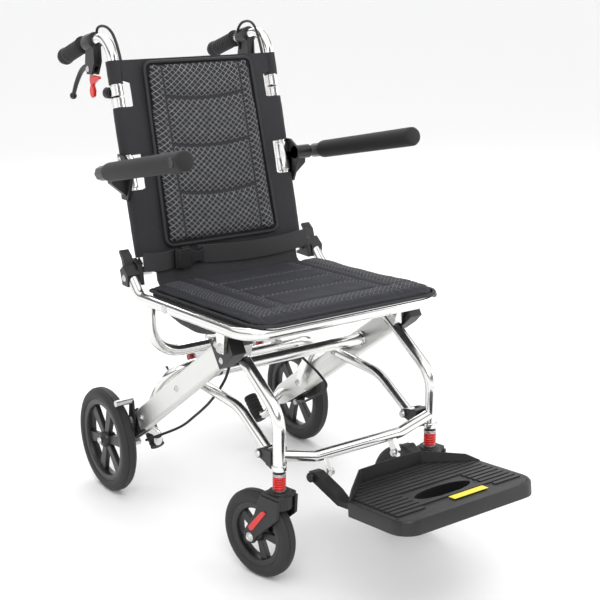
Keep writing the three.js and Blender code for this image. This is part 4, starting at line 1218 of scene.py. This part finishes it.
def heel_guard(s, half, wing, rear, top):
    """Raised lip along the rear edge, falling to nothing at the wings."""
    left = [(-half, wing, 1), (-118, wing + 14, 12), (-66, rear, 19)]
    line = left + [(0, rear + 1, 21)] + [(-x, y, h) for x, y, h in reversed(left)]
    verts = []
    for x, y, h in line:
        inward = Vector((-x * 0.25, -6)).normalized() * 6
        verts += [(x, y, top - 6), (x, y, top + h)]
        verts += [(x + inward.x * 0.5, y + inward.y * 0.5, top + h + 1),
                  (x + inward.x, y + inward.y, top - 1)]
    faces = ring_faces(len(line), 4)
    faces += [(0, 1, 2, 3), tuple(4 * (len(line) - 1) + j for j in (3, 2, 1, 0))]
    s.add(verts, faces)


def brackets(s):
    y, z = FOOT_PIVOT
    for g in (-1, 1):
        arm = [(y + 9, z - 7), (y + 9, z + 7), (y - 5, z + 9), (-318, 174), (-334, 166), (-398, 172),
               (-398, 165), (-330, 154), (y - 4, z - 9)]
        s.prism(arm, g * 84, g * 104)
        s.lathe(cap(8, 5, 7), (g * 104, y, z), (g, 0, 0), 24)
    s.prism([(-400, 173), (-376, 170), (-376, 163), (-400, 166)], -98, 98)


# ------------------------------------------------------------ small parts
def catch(side, g):
    s = Shape()
    x, y, z = g * CATCH[0], CATCH[1], CATCH[2]
    outline = [(y - 14, z + 15), (y + 14, z + 15), (y + 22, z - 10), (y + 64, z - 38), (y + 60, z - 46),
               (y + 19, 266), (y + 10, 266),
               (y + 10, z - 16), (y - 14, z - 14)]
    s.prism(outline, x - 7, x + 7, mat=1)
    s.lathe([(0, -13), (8, -13), (9, -10), (9, 10), (8, 13), (0, 13)], (x, y + 66, z - 43), (1, 0, 0), 28)
    s.build(f"fold_catch_{side}", [DARK_RED, ZINC], f"catch_{side}", [f"catch_{side}"], "red_plastic",
            2.0)


CABLES = {
    "right": [(120, 143), (60, 185), (2, 232), (-46, 284), (-68, 325)],
    "left": [(84, 150), (24, 194), (44, 214), (92, 230), (140, 246)],
}


def cables(side, g):
    by, bz = on_beam(*BRAKE_ARM)
    s = Shape()
    points = [(g * 174, by - 8, bz - 44)] + [(g * 134, y, z) for y, z in CABLES[side]]
    s.curve(smooth_path(points), CABLE_R, 12)
    s.build(f"brake_cable_{side}", PIPING, "rear_frame", [f"cable_frame_{side}"], "black_rubber")
    b = Shape()
    x = g * (BACK_X - 17)
    points = [(x, back_y(726) + 22, 726), (x, back_y(640) + 24, 640), (x, back_y(560) + 22, 560),
              (x, back_y(482) + 18, 482)]
    b.curve(smooth_path(points), CABLE_R, 12)
    b.build(f"back_cable_{side}", PIPING, "back_frame", [f"cable_back_{side}"], "black_rubber")


# ------------------------------------------------------------ stage, light, camera
def stage():
    mesh = bpy.data.meshes.new("floor")
    mesh.from_pydata([(-40, -40, 0), (40, -40, 0), (40, 40, 0), (-40, 40, 0)], [], [(0, 1, 2, 3)])
    floor = new_object("floor", mesh)
    mesh.materials.append(principled("pale_floor", (0.93, 0.93, 0.93), 0.7))


def area_light(name, place, target, size, power):
    data = bpy.data.lights.new(name, "AREA")
    data.shape = "RECTANGLE"
    data.size, data.size_y = size
    data.energy = power
    obj = new_object(name, data)
    obj.location = place
    obj.rotation_euler = (Vector(target) - Vector(place)).to_track_quat("-Z", "Y").to_euler()


def lighting():
    world = bpy.data.worlds.new("studio")
    bpy.context.scene.world = world
    world.use_nodes = True
    tree = world.node_tree
    back = tree.nodes["Background"]
    coord = tree.nodes.new("ShaderNodeTexCoord")
    axes = tree.nodes.new("ShaderNodeSeparateXYZ")
    ramp = tree.nodes.new("ShaderNodeValToRGB")
    tree.links.new(coord.outputs["Generated"], axes.inputs[0])
    tree.links.new(axes.outputs["Z"], ramp.inputs["Fac"])
    tree.links.new(ramp.outputs["Color"], back.inputs["Color"])
    stops = ((0.0, 1.0), (0.24, 1.0), (0.32, 0.1), (0.46, 0.1), (0.6, 0.85), (0.85, 1.0))
    ramp.color_ramp.elements[0].position = stops[0][0]
    ramp.color_ramp.elements[0].color = (stops[0][1],) * 3 + (1,)
    ramp.color_ramp.elements[1].position = stops[-1][0]
    ramp.color_ramp.elements[1].color = (stops[-1][1],) * 3 + (1,)
    for p, c in stops[1:-1]:
        ramp.color_ramp.elements.new(p).color = (c, c, c, 1)
    back.inputs["Strength"].default_value = 1.3
    view = bpy.context.scene.view_settings
    view.view_transform = "Standard"
    view.look = "None"
    area_light("key", (-1.6, -2.4, 3.0), (0, 0, 0.4), (2.2, 2.2), 52)
    area_light("fill", (2.6, -1.6, 1.6), (0, 0, 0.45), (1.6, 2.4), 24)
    area_light("rim", (0.8, 2.6, 2.4), (0, 0, 0.5), (2.6, 1.2), 34)


def camera():
    data = bpy.data.cameras.new("camera")
    data.lens = 71.3
    data.sensor_width = 36
    data.clip_end = 200
    cam = new_object("camera", data)
    azimuth, elevation = -0.613, 0.2794
    level = cos(elevation)
    look = Vector((-sin(azimuth) * level, cos(azimuth) * level, -sin(elevation)))
    cam.location = (-1.130864, -1.688435 + ORIGIN_Y / 1000, 0.978228)
    cam.rotation_euler = look.to_track_quat("-Z", "Y").to_euler()
    bpy.context.scene.camera = cam


# ------------------------------------------------------------ assembly
camera()
stage()
lighting()
front_frame()
seat_frame()
rear_frame()
back_frame()
for side, g in SIDES.items():
    beam(side, g)
    hinge_block(side, g)
    stay(side, g)
    clevis(side, g)
    caster(side, g)
    rear_corner(side, g)
    back_hinge(side, g)
    handle(side, g)
    armrest(side, g)
    catch(side, g)
    cables(side, g)
back_cover()
back_pad()
seat_sling()
seat_cushion()
seat_flap()
belt()
footplate()
